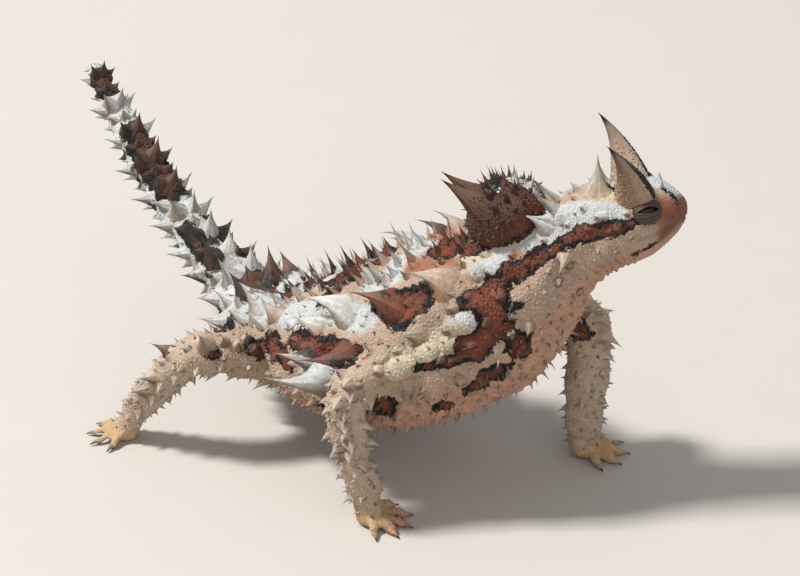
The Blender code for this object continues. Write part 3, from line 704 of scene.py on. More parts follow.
# %% The template
def ring_template(sides, heights):
    clear_selection()
    bpy.ops.mesh.primitive_cone_add(
        vertices=sides, radius1=1.0, radius2=0.0, depth=1.0, end_fill_type="NOTHING"
    )
    cone = bpy.context.active_object
    bpy.ops.object.mode_set(mode="EDIT")
    for height in heights:
        bpy.ops.mesh.select_all(action="SELECT")
        bpy.ops.mesh.bisect(plane_co=(0, 0, height - 0.5), plane_no=(0, 0, 1))
    bpy.ops.mesh.select_all(action="SELECT")
    bpy.ops.mesh.quads_convert_to_tris()
    bpy.ops.object.mode_set(mode="OBJECT")
    co = read_vertices(cone)
    tris = np.empty(len(cone.data.polygons) * 3, int)
    cone.data.polygons.foreach_get("vertices", tris)
    tris = tris.reshape(-1, 3)
    corners = co[tris]
    facing = np.cross(corners[:, 1] - corners[:, 0], corners[:, 2] - corners[:, 0])
    inward = dot(facing, corners.mean(1) * np.array([1, 1, 0])) < 0
    tris[inward] = tris[inward][:, ::-1]
    bpy.data.objects.remove(cone)
    return np.clip(co[:, 2] + 0.5, 0, 1), np.arctan2(co[:, 1], co[:, 0]), tris


HORN = ring_template(24, (0.05, 0.12, 0.2, 0.3, 0.42, 0.55, 0.68, 0.8, 0.9, 0.96))
THORN = ring_template(14, (0.07, 0.16, 0.28, 0.44, 0.62, 0.8, 0.93))
SPINELET = ring_template(6, (0.25, 0.6))
SCALE = ring_template(6, (0.6,))
sizes = [len(template[2]) for template in (HORN, THORN, SPINELET, SCALE)]
print("triangles in a horn, a thorn, a spinelet and a scale:", sizes)


# %% Grow copies
def grow(name, template, roots, normals, tips, bases, shape, sink, seed, patch=0.003, bow=0.3, spread=False):
    """One mesh of bent copies, with markings, height, turn and tone on every vertex."""
    height, turn, tris = template
    count, size = len(roots), len(height)
    rng = np.random.default_rng(seed)
    length = np.linalg.norm(tips - roots, axis=1)
    start = roots - normals * sink[:, None]
    bend = roots + normals * (bow * length)[:, None]
    s = height[None, :, None]
    centre = (1 - s) ** 2 * start[:, None] + 2 * s * (1 - s) * bend[:, None] + s**2 * tips[:, None]
    axis = unit((1 - s) * (bend - start)[:, None] + s * (tips - bend)[:, None] + 1e-9)
    helper = np.where(np.abs(normals[:, :1]) < 0.7, [[1.0, 0, 0]], [[0, 1.0, 0]])
    first = unit(np.cross(normals, helper))[:, None]
    first = unit(first - dot(first, axis)[..., None] * axis)
    second = np.cross(axis, first)
    spin = turn[None] + rng.uniform(0, 2 * math.pi, count)[:, None]
    radius = bases[:, None] * (1 - height[None] ** shape[0]) ** shape[1]
    out = first * np.cos(spin)[..., None] + second * np.sin(spin)[..., None]
    rough = 1 + (0.07 * np.sin(3 * spin + bases[:, None] * 9) if spread else 0)
    points = (centre + out * (radius * rough)[..., None]).reshape(-1, 3)
    faces = (tris[None] + (np.arange(count) * size)[:, None, None]).reshape(-1, 3)
    mesh = bpy.data.meshes.new(name)
    mesh.vertices.add(len(points))
    mesh.loops.add(faces.size)
    mesh.polygons.add(len(faces))
    mesh.polygons.foreach_set("loop_start", np.arange(len(faces)) * 3)
    mesh.loops.foreach_set("vertex_index", faces.ravel())
    mesh.update(calc_edges=True)
    piece = bpy.data.objects.new(name, mesh)
    bpy.context.collection.objects.link(piece)
    set_points(piece, points)
    where, marks, place, _, _ = marks_at(roots)
    if spread:
        held = np.tile(height[:, None] ** 0.7, (count, 1))
        near = marks_at(points * (1 - held) + np.repeat(roots, size, axis=0) * held)[1]
    for mark in MARKS:
        set_attribute(mesh, mark, near[mark] if spread else np.repeat(marks[mark], size))
    set_attribute(mesh, "tip", np.tile(height, count))
    set_attribute(mesh, "tone", np.repeat(rng.uniform(0, 1, count), size))
    set_attribute(mesh, "turn", spin.ravel())
    # The share of each vertex that faces down, where the thorn materials paint shade.
    set_attribute(mesh, "under", smooth(-out[..., 2], -0.1, 0.6).ravel())
    foot = smooth(-roots[:, 2], -6.0, -1.5) * (where > 1)
    set_attribute(mesh, "foot", np.repeat(foot, size))
    fan = np.stack([np.cos(turn), np.sin(turn)], 1) * (1 - height)[:, None]
    flat = (place[:, None] + fan[None] * patch / 2).reshape(-1, 2)
    mesh.uv_layers.new(name="OFBake").data.foreach_set("uv", flat[faces.ravel()].astype(np.float32).ravel())
    mesh.shade_smooth()
    return piece


# %% [markdown]
# ## The large thorns
# The rows are station, angle, length, base radius, lean to the tail and lift to the ridge. They are
# the thorns that name the animal, so they stand where the photo shows them, and a loop mirrors them.

# %% Thorn tables
BACK_THORNS = [
    (8.7, 143, 4.8, 1.9, 0.3, 0.4),
    (9.1, 130, 5.6, 2.2, 0.6, 0.4),
    (10.65, 139, 6.4, 2.4, 1.5, 0.4),
    (11.3, 131, 10.5, 3.5, 1.6, 0.3),
    (12.2, 134, 9.0, 3.4, 1.5, 0.5),
    (13.15, 127, 8.4, 3.5, 1.5, 0.5),
    (11.65, 110, 4.2, 1.9, 1.0, 0.8),
    (10.5, 161, 8.2, 2.6, 1.6, 0.3),
    (11.35, 163, 10.5, 3.3, 1.6, 0.3),
    (10.75, 175, 13.0, 3.6, 1.5, 0.4),
    (11.85, 186, 4.0, 1.3, 1.2, -0.9),
    (12.1, 198, 3.6, 1.3, 1.4, 0.0),
    (12.5, 158, 4.0, 2.4, 1.2, 0.2),
    (13.2, 150, 3.2, 2.0, 1.0, 0.2),
]
NECK_THORNS = [
    (15.6, 112, 6.0, 2.1, 0.6, 0.6),
    (15.95, 76, 7.6, 1.3, 0.2, -0.1),
    (15.5, 163, 5.0, 1.5, 1.3, -0.6),
]
HEAD_THORNS = [
    (17.35, 98, 6.6, 2.2, -0.1, 0.1),
    (17.6, 160, 2.4, 1.2, 0.8, 0.2),
    (17.1, 142, 2.6, 1.4, 0.6, 0.3),
    (19.6, 104, 1.6, 0.8, 0.3, 0.0),
]
BROW_HORN = (18.53, 113.5, 14.0, 3.9, 0.3, 0.12)
WHORL_SPACING, WHORL_ANGLES = 3.7, (78, 122, 182, 240, 320, 18)
THIN_ROWS = ((80.0, 5.8, 1.15), (66.0, 4.6, 1.0))
# First and last station, spacing, angles, length, base radius and lean of the small thorns between.
SMALL_ROWS = (
    (9.0, 14.0, 4.4, (216, 324), 1.9, 0.8, 0.6),
    (8.9, 13.9, 3.4, (112, 134, 156, 178, 198), 2.0, 1.25, 0.8),
    (8.9, 13.9, 3.4, (-18, 2, 24, 46, 68), 2.0, 1.25, 0.8),
    (14.6, 18.0, 3.2, (100, 124, 148, 176, 204), 1.3, 0.8, 0.5),
    (14.6, 18.0, 3.2, (-24, 4, 32, 56, 80), 1.3, 0.8, 0.5),
)
print("named thorns:", len(BACK_THORNS) + len(NECK_THORNS) + len(HEAD_THORNS) + 1)


# %% Set thorns on a form
def mirrored(rows):
    return rows + [(t, 180 - a, *rest[:3], -rest[3]) for t, a, *rest in rows]


def thorn_ends(form, rows):
    """Roots, normals, tips and base radii of rows of thorns on a form."""
    t, angle, length, base, back, lift = np.array(rows, float).T
    root, normal, along, around = form.axes(t, angle)
    way = unit(normal - along * back[:, None] + around * lift[:, None])
    return root, normal, root + way * length[:, None], base


def sink_for(roots, bases):
    """How deep a wide base is sunk, so that its rim stays under a skin that curves away."""
    share = [form.read(roots)[2] for form in LIMBS]
    t, _, body_share = BODY.read(roots)
    curve = BODY.row(t)[:, 3:].mean(1)
    on_limb = np.min(share, axis=0) < body_share
    curve = np.where(on_limb, 3.8, curve)
    reach = np.minimum(bases, 0.85 * curve)
    return curve - np.sqrt(curve**2 - reach**2) + 0.22


def tail_rows(rng):
    """Whorls along the tail, every second one large, with a smaller ring between."""
    rows = []
    for k, t in enumerate(BODY.places(0.45, HIPS + 0.3, WHORL_SPACING)):
        size = BODY.row(t)[0, 3] ** 0.5
        big = k % 2 == 0
        for spoke, angle in enumerate(WHORL_ANGLES):
            top = 1.0 if spoke < 2 else 0.86
            length = size * (2.45 if big else 1.2) * top * rng.uniform(0.85, 1.15)
            base = size * (1.45 if big else 0.9) * top
            rows.append((t, angle + (0 if big else 27) + rng.uniform(-4, 4), length, base, 0.35, 0.0))
    return rows


def scattered_rows(rng, first, last, spacing, angles, length, base, back, jitter=6.0):
    """Rows along a stretch, staggered so that they don't line up."""
    rows = []
    for k, t in enumerate(BODY.places(first, last, spacing)):
        for angle in angles:
            turned = angle + (k % 2) * 0.5 * (angles[1] - angles[0]) + rng.uniform(-jitter, jitter)
            size = length * rng.uniform(0.6, 1.2)
            rows.append((t + rng.uniform(-0.12, 0.12), turned, size, base * rng.uniform(0.8, 1.2), back, 0.0))
    return rows


def clear_of_others(roots, own):
    """Which roots don't lie inside another part of the animal."""
    keep = np.ones(len(roots), bool)
    for k, form in enumerate(LIMBS):
        if own != k + 2:
            keep &= form.read(roots)[2] > 1.02
    if own != 1:
        keep &= np.linalg.norm((roots - KNOB_CENTRE) @ KNOB_TURN / KNOB_HALF, axis=1) > 1.03
    if own > 0:
        keep &= BODY.read(roots)[2] > 1.02
    return keep


class Gather:
    """Collects ends of thorns from several forms until they become one mesh."""

    def __init__(self):
        self.sets = []

    def add(self, own, ends):
        keep = clear_of_others(ends[0], own)
        self.sets.append([part[keep] for part in ends])

    def all(self):
        return [np.concatenate(parts) for parts in zip(*self.sets)]


# %% Large and middle thorns
rng = np.random.default_rng(7)
large = Gather()
large.add(0, thorn_ends(BODY, mirrored(BACK_THORNS + NECK_THORNS + HEAD_THORNS)))
large.add(0, thorn_ends(BODY, tail_rows(rng)))
thin = []
for row_angle, size, base in THIN_ROWS:
    for side in (row_angle, 180 - row_angle):
        pairs = scattered_rows(rng, 8.8, 13.6, 4.6, (side, side + 6), size, base * 0.72, 0.12, 3.0)
        thin += pairs[::2]
large.add(0, thorn_ends(BODY, thin))
for row in SMALL_ROWS:
    large.add(0, thorn_ends(BODY, scattered_rows(rng, *row)))
roots, normals, tips, bases = large.all()
bases = 1.3 * bases
sinks = sink_for(roots, bases)
thorns = grow("thorns", THORN, roots, normals, tips, bases, (1.0, 2.1), sinks, 11, 0.004, 0.42, True)
thorn_roots, thorn_bases = roots, bases
print("thorns:", len(roots), "triangles:", triangle_count(thorns))

# %% [markdown]
# ## Thorns of the limbs
# Limb thorns point down the limb. They are laid out in staggered rows round each limb, and a few
# more stand where the photo shows them. Their rows are station, angle and length.

# %% Limb thorns
LIMB_THORN_LENGTH = 3.7
ARM_ANGLES, LEG_ANGLES = (30, 90, 150, 225, 300), (20, 90, 160, 230, 300)
NEAR_LEG = [
    (2.25, 114, 4.6), (1.71, 84, 5.4), (1.11, 72, 3.6), (0.8, 62, 3.4), (2.7, 80, 4.4),
    (3.1, 76, 3.4), (2.16, 42, 2.4), (2.7, 36, 2.6), (1.4, 40, 1.8),
]
NEAR_ARM = [
    (1.86, 46, 2.8), (2.16, 48, 2.8), (1.98, 18, 2.6), (2.58, 324, 2.8), (2.52, 24, 3.0),
    (2.95, 302, 3.4), (2.85, 18, 3.2), (2.91, 66, 2.6), (3.21, 358, 3.2), (3.35, 320, 2.4),
]
FAR_ARM = [(1.53, 144, 2.6), (1.8, 146, 2.8), (2.1, 154, 5.0), (2.46, 152, 3.0), (1.68, 188, 2.0)]
limb_set = Gather()
for own, (form, angles) in enumerate(zip(LIMBS, (ARM_ANGLES, ARM_ANGLES, LEG_ANGLES, LEG_ANGLES))):
    rows = []
    for k, t in enumerate(form.places(0.9, 3.8, 2.3)):
        for angle in angles:
            large_one = k % 2 == 0
            turned = angle + (0 if large_one else 36) + rng.uniform(-9, 9)
            size = LIMB_THORN_LENGTH * rng.uniform(0.6, 1.05) * (1 - 0.11 * t) * (1 if large_one else 0.5)
            rows.append((t + rng.uniform(-0.06, 0.06), turned, size, 0.62 * size, -0.55, 0.0))
    named = {0: NEAR_ARM, 1: FAR_ARM, 2: NEAR_LEG}.get(own, [])
    rows += [(t, angle, size, 0.6 * size, -0.3 if own == 2 else -0.55, 0.0) for t, angle, size in named]
    limb_set.add(own + 2, thorn_ends(form, rows))
roots, normals, tips, bases = limb_set.all()
sinks = sink_for(roots, bases)
limb_thorns = grow(
    "limb_thorns", THORN, roots, normals, tips, bases, (1.0, 2.0), sinks, 13, 0.003, 0.42, True
)
thorn_roots, thorn_bases = np.concatenate([thorn_roots, roots]), np.concatenate([thorn_bases, bases])
print("limb thorns:", len(roots), "triangles:", triangle_count(limb_thorns))

# %% [markdown]
# ## Horns
# The two brow horns and the two horns of the nape's knob are fuller than thorns, almost cones. A
# black strip runs down the front of each brow horn, where its surface faces the snout.

# %% Brow and knob horns
root, normal, tip, base = thorn_ends(BODY, mirrored([BROW_HORN]))
base = 1.1 * base
brow_horns = grow("brow_horns", HORN, root, normal, tip, base, (1.0, 1.3), 0.5 * base, 14, 0.01, 0.52, True)
HEAD_WAY = BODY.frame(BROW_HORN[0])[1][0]


def front_edge(piece, ways):
    """Marks a strip along the front of each brow horn as black."""
    dark = smooth(ways @ HEAD_WAY, 0.66, 0.84)
    set_attribute(piece.data, "blotch", -3.0 + 3.8 * dark)
    set_attribute(piece.data, "dusk", dark)
    return dark


front_edge(brow_horns, read_vertices(brow_horns, "normal"))
level = turn_matrix(KNOB_HEADING, 0)
knob_roots, knob_tips = [], []
for side in (-1, 1):
    way = unit(level @ (KNOB_HORN_WAY * np.array([1, side, 1])))
    knob_roots.append(KNOB_CENTRE + level @ (KNOB_HORN_ROOT * np.array([1, side, 1])))
    knob_tips.append(knob_roots[-1] + way * KNOB_HORN_LENGTH)
knob_roots, knob_tips = np.array(knob_roots), np.array(knob_tips)
knob_ways = unit(knob_tips - knob_roots)
knob_base, knob_sink = np.full(2, 1.08 * KNOB_HORN_BASE), np.full(2, 1.6)
knob_horns = grow(
    "knob_horns", HORN, knob_roots, knob_ways, knob_tips, knob_base, (1.0, 1.3), knob_sink, 15,
    0.01, 0.3, True,
)
print("horn triangles:", triangle_count(brow_horns) + triangle_count(knob_horns))


# %% [markdown]
# A comb of small upright thorns runs over the front of the knob, in three rows one above the other.

# %% Comb of the knob
COMB_ROWS = ((20, 2.0), (42, 2.6), (66, 3.0))  # height in degrees, and length
comb = []
for height, size in COMB_ROWS:
    comb += [(azimuth + rng.uniform(-7, 7), height, size) for azimuth in range(-80, 81, 20)]
azimuth, height = np.radians([row[0] for row in comb]), np.radians([row[1] for row in comb])
ball_way = np.stack([np.cos(height) * np.cos(azimuth), np.cos(height) * np.sin(azimuth), np.sin(height)], 1)
comb_roots = KNOB_CENTRE + (ball_way * KNOB_HALF) @ KNOB_TURN.T
comb_ways = unit((ball_way / KNOB_HALF) @ KNOB_TURN.T)
comb_length = np.array([row[2] for row in comb])[:, None]
comb_tips = comb_roots + unit(comb_ways + np.array([-0.2, 0, 0.35])) * comb_length
comb_base, comb_sink = np.full(len(comb), 0.75), np.full(len(comb), 0.3)
comb_thorns = grow(
    "knob_comb", SPINELET, comb_roots, comb_ways, comb_tips, comb_base, (1.0, 1.8), comb_sink, 16,
    0.003, 0.4, True,
)
print("thorns of the comb:", len(comb))

# %% [markdown]
# ## Scales
# The skin between the thorns is covered with small rounded scales. Random points are drawn on the
# skin's triangles by area, and a point is kept only if no kept point is nearer than the spacing, as
# scales grow side by side. Each kept point gets a dome turned to the skin's normal.


# %% Draw points on the skin
def sample_surface(obj, count, seed):
    """Random places on a surface, their normals, and the first corner of the triangle of each."""
    mesh = obj.data
    mesh.calc_loop_triangles()
    tris = np.empty(len(mesh.loop_triangles) * 3, int)
    mesh.loop_triangles.foreach_get("vertices", tris)
    tris = tris.reshape(-1, 3)
    points, normals = get_points(obj), read_vertices(obj, "normal")
    a, b, c = (points[tris[:, i]] for i in range(3))
    area = np.linalg.norm(np.cross(b - a, c - a), axis=1) / 2
    rng = np.random.default_rng(seed)
    chosen = rng.choice(len(tris), count, p=area / area.sum())
    r1, r2 = np.sqrt(rng.uniform(0, 1, count)), rng.uniform(0, 1, count)
    weights = np.stack([1 - r1, r1 * (1 - r2), r1 * r2], 1)
    spots = sum(points[tris[chosen, i]] * weights[:, i : i + 1] for i in range(3))
    ways = unit(sum(normals[tris[chosen, i]] * weights[:, i : i + 1] for i in range(3)))
    print(obj.name, "area, square mm:", round(float(area.sum())))
    return spots, ways, tris[chosen, 0]


def thin_out(spots, spacing):
    """Keeps points in their random order while they stay apart by their spacing."""
    tree = KDTree(len(spots))
    for i, spot in enumerate(spots):
        tree.insert(spot, i)
    tree.balance()
    taken = np.zeros(len(spots), bool)
    kept = []
    for i, spot in enumerate(spots):
        if not taken[i]:
            kept.append(i)
            for _, j, _ in tree.find_range(spot, spacing[i]):
                taken[j] = True
    return np.array(kept)


def clear_of_thorns(spots):
    """Which points lie outside the middle of every large thorn's base."""
    tree = KDTree(len(thorn_roots))
    for i, root in enumerate(thorn_roots):
        tree.insert(root, i)
    tree.balance()
    keep = []
    for spot in spots:
        _, i, gap = tree.find(spot)
        keep.append(gap > 0.4 * thorn_bases[i])
    return np.array(keep)


SKIN_SAMPLES, HORN_SAMPLES = 190000, 9000
spots, ways, _ = sample_surface(skin, SKIN_SAMPLES, 21)
where, marks, _, t_spot, angle_spot = marks_at(spots)
FLANK_SPACING, PATCH_SPACING, WHITE_SPACING, BELLY_SPACING = 0.58, 0.64, 0.5, 0.66
HEAD_SPACING, LIMB_SPACING, FOOT_SPACING = 0.44, 0.56, 0.46
spacing = np.full(len(spots), FLANK_SPACING)
spacing[(where == 0) & (marks["blotch"] > 0.8) & (t_spot > HIPS) & (t_spot < 15)] = PATCH_SPACING
spacing[(where == 0) & (marks["white"] > 0.5) & (t_spot > HIPS)] = WHITE_SPACING
spacing[(where == 0) & (t_spot > 16.6)] = HEAD_SPACING
spacing[(where == 0) & (marks["belly"] > 0.5) & (t_spot < SHOULDERS)] = BELLY_SPACING
spacing[where >= 1] = LIMB_SPACING
spacing[(where > 1) & (spots[:, 2] < 4)] = FOOT_SPACING
spacing *= np.random.default_rng(22).uniform(0.85, 1.25, len(spots))
outside = np.ones(len(spots), bool)
for side_angle in (EYE_ANGLE, 180 - EYE_ANGLE):
    outside &= np.linalg.norm(spots - eye_place(side_angle)[0], axis=1) > LID_RADIUS + 0.15
kept = thin_out(spots, spacing)
kept = kept[outside[kept] & clear_of_thorns(spots[kept]) & (spots[kept, 2] > 0.25)]
print("scales:", len(kept))

# %% Scale pieces
TAIL_SCALES_END = 8.2
on_trunk = (where == 0) & (t_spot >= TAIL_SCALES_END) & (t_spot < SHOULDERS)
on_right = np.abs(angle_spot - 180) <= 90
SCALE_PIECES = {
    "scales_tail": (where == 0) & (t_spot < TAIL_SCALES_END),
    "scales_right": on_trunk & on_right,
    "scales_left": on_trunk & ~on_right,
    "scales_head": (where == 0) & (t_spot >= SHOULDERS) | (where == 1),
    "scales_arms": (where == 2) | (where == 3),
    "scales_legs": where > 3,
}
rng = np.random.default_rng(31)
scale_objects = []
for k, (name, inside) in enumerate(SCALE_PIECES.items()):
    own = kept[inside[kept]]
    base = 0.62 * spacing[own] * rng.uniform(0.85, 1.15, len(own))
    along = np.tile(BODY.frame(12)[1], (len(own), 1))
    tall = base * rng.uniform(0.1, 0.38, len(own))
    tall = tall * np.where(rng.uniform(0, 1, len(own)) < 0.04, 2.0, 1.0)
    tall = tall * np.where((marks["blotch"][own] > 0.6) & (where[own] < 2), 1.9, 1.0)
    way = unit(ways[own] - 0.35 * (along - dot(along, ways[own])[:, None] * ways[own]))
    tips = spots[own] + way * tall[:, None]
    piece = grow(name, SCALE, spots[own], ways[own], tips, base, (2.0, 0.75), np.full(len(own), 0.12), 40 + k)
    scale_objects.append(piece)
    print(name, "triangles:", triangle_count(piece))

# %% [markdown]
# The same scales climb the lower half of the brow horns and of the knob's horns, fewer with height.

# %% Scales on the horns
HORN_SETS = (("brow_scales", brow_horns, 0.8), ("knob_scales", knob_horns, 0.25))
horn_scales = []
for k, (name, horn, paleness) in enumerate(HORN_SETS):
    horn_spots, horn_ways, corner = sample_surface(horn, HORN_SAMPLES, 26 + k)
    heights = np.empty(len(horn.data.vertices))
    horn.data.attributes["tip"].data.foreach_get("value", heights)
    chance = np.random.default_rng(28 + k).uniform(0, 1, len(horn_spots))
    low = np.flatnonzero(chance > smooth(heights[corner], 0.2, 0.55))
    low = low[thin_out(horn_spots[low], np.full(len(low), 0.5))]
    base = rng.uniform(0.22, 0.36, len(low))
    tips = horn_spots[low] + horn_ways[low] * (0.3 * base)[:, None] + np.array([0, 0, 0.06])
    sinks = np.full(len(low), 0.08)
    piece = grow(name, SCALE, horn_spots[low], horn_ways[low], tips, base, (2.0, 0.75), sinks, 48 + k)
    if horn is brow_horns:
        paleness = paleness * (1 - front_edge(piece, np.repeat(horn_ways[low], len(SCALE[0]), axis=0)))
    set_attribute(piece.data, "horn", np.full(len(piece.data.vertices), paleness))
    horn_scales.append(piece)
    print(name, len(low))

# %% [markdown]
# ## Spinelets
# Between scale and thorn there are small sharp spinelets, thickest on the dark patches of the back,
# on the knob and along the low edge of the belly, where they show against the floor.

# %% Spinelets
DARK_GAP, PLAIN_GAP, KNOB_GAP, LIMB_GAP, EDGE_GAP = 1.15, 2.7, 1.5, 2.2, 2.1
flank_share = (where == 0) & (marks["belly"] < 0.3) & (t_spot > HIPS) & (t_spot < 16.5)
dark_share = (marks["blotch"] > 0.6) & flank_share & (np.abs(angle_spot - 90) < 38)
spine_spacing = np.where(dark_share, DARK_GAP, PLAIN_GAP)
spine_spacing[where == 1] = KNOB_GAP
spine_spacing[where > 1] = LIMB_GAP
under = -np.sin(np.radians(angle_spot))
low_edge = (where == 0) & (under > 0.3) & (under < 0.95) & (t_spot > HIPS) & (t_spot < 15)
spine_spacing[low_edge] = EDGE_GAP
all_over = flank_share | low_edge | (where >= 1) | (t_spot < HIPS)
wanted = np.flatnonzero(all_over & outside & (spots[:, 2] > 3))
picked = wanted[thin_out(spots[wanted], spine_spacing[wanted])]
fine = dark_share[picked] | ((where[picked] == 1) & (t_spot[picked] > 35))
length = np.where(fine, 1.9, 1.15) * rng.uniform(0.6, 1.25, len(picked))
base = np.where(fine, 0.2, 0.42) * rng.uniform(0.8, 1.2, len(picked))
loose = unit(ways[picked] + rng.normal(0, 0.22, (len(picked), 3)) - 0.35 * BODY.frame(12)[1])
length = np.where(low_edge[picked], rng.uniform(1.3, 2.4, len(picked)), length)
base = np.where(low_edge[picked], 0.5, base)
tips = spots[picked] + loose * length[:, None]
sinks = np.full(len(picked), 0.2)
spinelets = grow("spinelets", SPINELET, spots[picked], ways[picked], tips, base, (1.0, 1.25), sinks, 50)
print("spinelets:", len(picked), "triangles:", triangle_count(spinelets))

# %% [markdown]
# ## Eyes and lids
# An eyeball is a ball with its pole turned outward, so that rings of the mesh follow the iris. Each
# lid is a grid bent over it: one direction runs from corner to corner and the other from the slit
# back into the head. Fine ripples across the second direction are the wrinkles.


# %% Eyeballs and lids
SLIT_HALF_LENGTH, SLIT_HALF_HEIGHT, LID_HALF_LENGTH, LID_REACH = 2.25, 0.66, 3.25, 108.0
RIPPLE_HEIGHT, RIPPLES, RIM_HEIGHT = 0.035, 22, 0.14


def make_eyeball(name, centre, axes):
    turn = np.stack(axes, 1)
    eye = ball(name, centre, (EYE_RADIUS,) * 3, turn, 48, 32)
    eye.data.shade_smooth()
    away = get_points(eye) - centre
    set_attribute(eye.data, "iris", np.degrees(np.arccos(np.clip(away @ axes[2] / EYE_RADIUS, -1, 1))))
    return eye


def make_lid(name, centre, axes, upper):
    forward, up, outward = axes
    clear_selection()
    bpy.ops.mesh.primitive_grid_add(x_subdivisions=34, y_subdivisions=44, size=2.0)
    lid = bpy.context.active_object
    lid.name = name
    co = read_vertices(lid)
    gx, gy = co[:, 0], (co[:, 1] + 1) / 2
    x = LID_HALF_LENGTH * np.sin(gx * math.pi / 2 * 0.97)
    wide = LID_RADIUS * np.sqrt(1 - (x / LID_HALF_LENGTH) ** 2)
    gap = SLIT_HALF_HEIGHT * np.clip(1 - (x / SLIT_HALF_LENGTH) ** 2, 0, 1) + 0.02
    open_at = np.degrees(np.arcsin(np.clip(gap / wide, 0, 0.9)))
    lift = open_at * (1.0 if upper else 0.85) + (LID_REACH - open_at) * gy
    wave = np.sin(np.radians(lift) * RIPPLES + x * 0.7)
    ripple = RIPPLE_HEIGHT * wave * smooth(gy, 0.05, 0.2)
    rim = RIM_HEIGHT * np.exp(-((gy / 0.05) ** 2))
    around = np.radians(lift * (1 if upper else -1))
    out = outward * np.cos(around)[:, None] + up * np.sin(around)[:, None]
    set_points(lid, centre + forward * x[:, None] + out * (wide * (1 + (ripple + rim) / LID_RADIUS))[:, None])
    # The wrinkles' valleys are painted darker and their ridges lighter: painted shade.
    set_attribute(lid.data, "wrinkle_shade", wave * 0.5 + 0.5)
    apply_modifier(lid, "SOLIDIFY", thickness=0.3 * MM, offset=-1.0 if upper else 1.0)
    lid.data.shade_smooth()
    return lid


eyes, lids = [], []
for side, side_angle in (("right", EYE_ANGLE), ("left", 180 - EYE_ANGLE)):
    centre, forward, up, outward = eye_place(side_angle)
    axes = (forward, up, outward)
    eyes.append(make_eyeball("eyeball_" + side, centre, axes))
    lids.append(make_lid("lid_upper_" + side, centre, axes, True))
    lids.append(make_lid("lid_lower_" + side, centre, axes, False))
print("eyes and lids:", len(eyes), len(lids))

# %% [markdown]
# Small scales stand in rings round each eye, where the lids run out into the face, so that the lids
# have no hard rim.

# %% Scales round the eyes
LID_RINGS = ((66.0, 44), (75.0, 50), (84.0, 54), (93.0, 56))
ring_spots, ring_ways = [], []
for side_angle in (EYE_ANGLE, 180 - EYE_ANGLE):
    centre, forward, up, outward = eye_place(side_angle)
    for polar, count in LID_RINGS:
        turn = np.radians(np.arange(count) * 360 / count + rng.uniform(-2, 2, count))
        slant = np.radians(polar + rng.uniform(-2, 2, count))
        flat = forward[None] * (1.1 * np.cos(turn))[:, None] + up[None] * np.sin(turn)[:, None]
        way = flat * np.sin(slant)[:, None] + outward[None] * np.cos(slant)[:, None]
        ring_spots.append(centre + way * (LID_RADIUS + 0.03))
        ring_ways.append(unit(way + 0.5 * outward))
ring_spots, ring_ways = np.concatenate(ring_spots), np.concatenate(ring_ways)
ring_base = rng.uniform(0.19, 0.3, len(ring_spots))
ring_tips, ring_sink = ring_spots + ring_ways * 0.2, np.full(len(ring_spots), 0.1)
lid_scales = grow(
    "lid_scales", SCALE, ring_spots, ring_ways, ring_tips, ring_base, (2.0, 0.75), ring_sink, 55
)
set_attribute(lid_scales.data, "dusk", np.ones(len(lid_scales.data.vertices)))
print("scales round the eyes:", len(ring_spots))

# %% Claws
claw_roots = np.array([root for root, _ in claw_places])
claw_ways = np.array([way for _, way in claw_places])
claw_tips = claw_roots + claw_ways * CLAW_LENGTH + np.array([0, 0, -0.55])
raised = unit(claw_ways + np.array([0, 0, 0.35]))
claw_base, claw_sink = np.full(len(claw_roots), CLAW_BASE), np.full(len(claw_roots), 0.4)
claws = grow("claws", THORN, claw_roots, raised, claw_tips, claw_base, (1.0, 0.8), claw_sink, 60)
print("claws:", len(claw_roots))


# %% [markdown]
# ## Shader helpers
# A material here is a small tree of nodes. One helper adds a node and wires its inputs, so that each
# tree reads like a recipe.


# %% Node helpers
def colour(red, green, blue):
    """A colour as seen on a screen, 0 to 255, as the linear values a shader takes."""
    linear = [((c / 255 + 0.055) / 1.055) ** 2.4 if c > 10 else c / 255 / 12.92 for c in (red, green, blue)]
    return (*linear, 1.0)


def add_node(tree, kind, inputs=None, **settings):
    node = tree.nodes.new(kind)
    for name, value in settings.items():
        setattr(node, name, value)
    for name, value in (inputs or {}).items():
        if isinstance(value, bpy.types.NodeSocket):
            tree.links.new(value, node.inputs[name])
        else:
            node.inputs[name].default_value = value
    return node


def calc(tree, operation, first, second=0.0):
    return add_node(tree, "ShaderNodeMath", {0: first, 1: second}, operation=operation).outputs[0]


def scaled(tree, value, factor, offset=0.0):
    """A value times a factor, plus an offset."""
    values = {0: value, 1: factor, 2: offset}
    return add_node(tree, "ShaderNodeMath", values, operation="MULTIPLY_ADD").outputs[0]


def step_between(tree, value, low, high):
    node = add_node(tree, "ShaderNodeMapRange", {0: value, 1: low, 2: high}, interpolation_type="SMOOTHSTEP")
    return node.outputs[0]


def blend_colours(tree, share, first, second, kind="MIX"):
    node = add_node(tree, "ShaderNodeMix", {0: share, 6: first, 7: second}, data_type="RGBA", blend_type=kind)
    return node.outputs[2]


def object_noise(tree, scale, detail=3.0, roughness=0.55):
    place = add_node(tree, "ShaderNodeTexCoord").outputs["Object"]
    values = {"Vector": place, "Scale": scale, "Detail": detail, "Roughness": roughness}
    return add_node(tree, "ShaderNodeTexNoise", values).outputs["Fac"]


def attribute(tree, name):
    return add_node(tree, "ShaderNodeAttribute", attribute_name=name).outputs["Fac"]


def start_material(name, **values):
    material = bpy.data.materials.new(name)
    material.use_nodes = True
    tree = material.node_tree
    shader = tree.nodes["Principled BSDF"]
    for socket, value in values.items():
        shader.inputs[socket.replace("_", " ")].default_value = value
    return material, tree, shader


# %% [markdown]
# ## The markings group
# Skin, scales and thorns share one group, so a blotch runs on from the skin over the scales on it.
# Noise moves the blotch's depth in and out by about a millimetre, which gives it a ragged edge.
# Steps of that depth make the black line, a dark brown rim and the lighter brown middle.

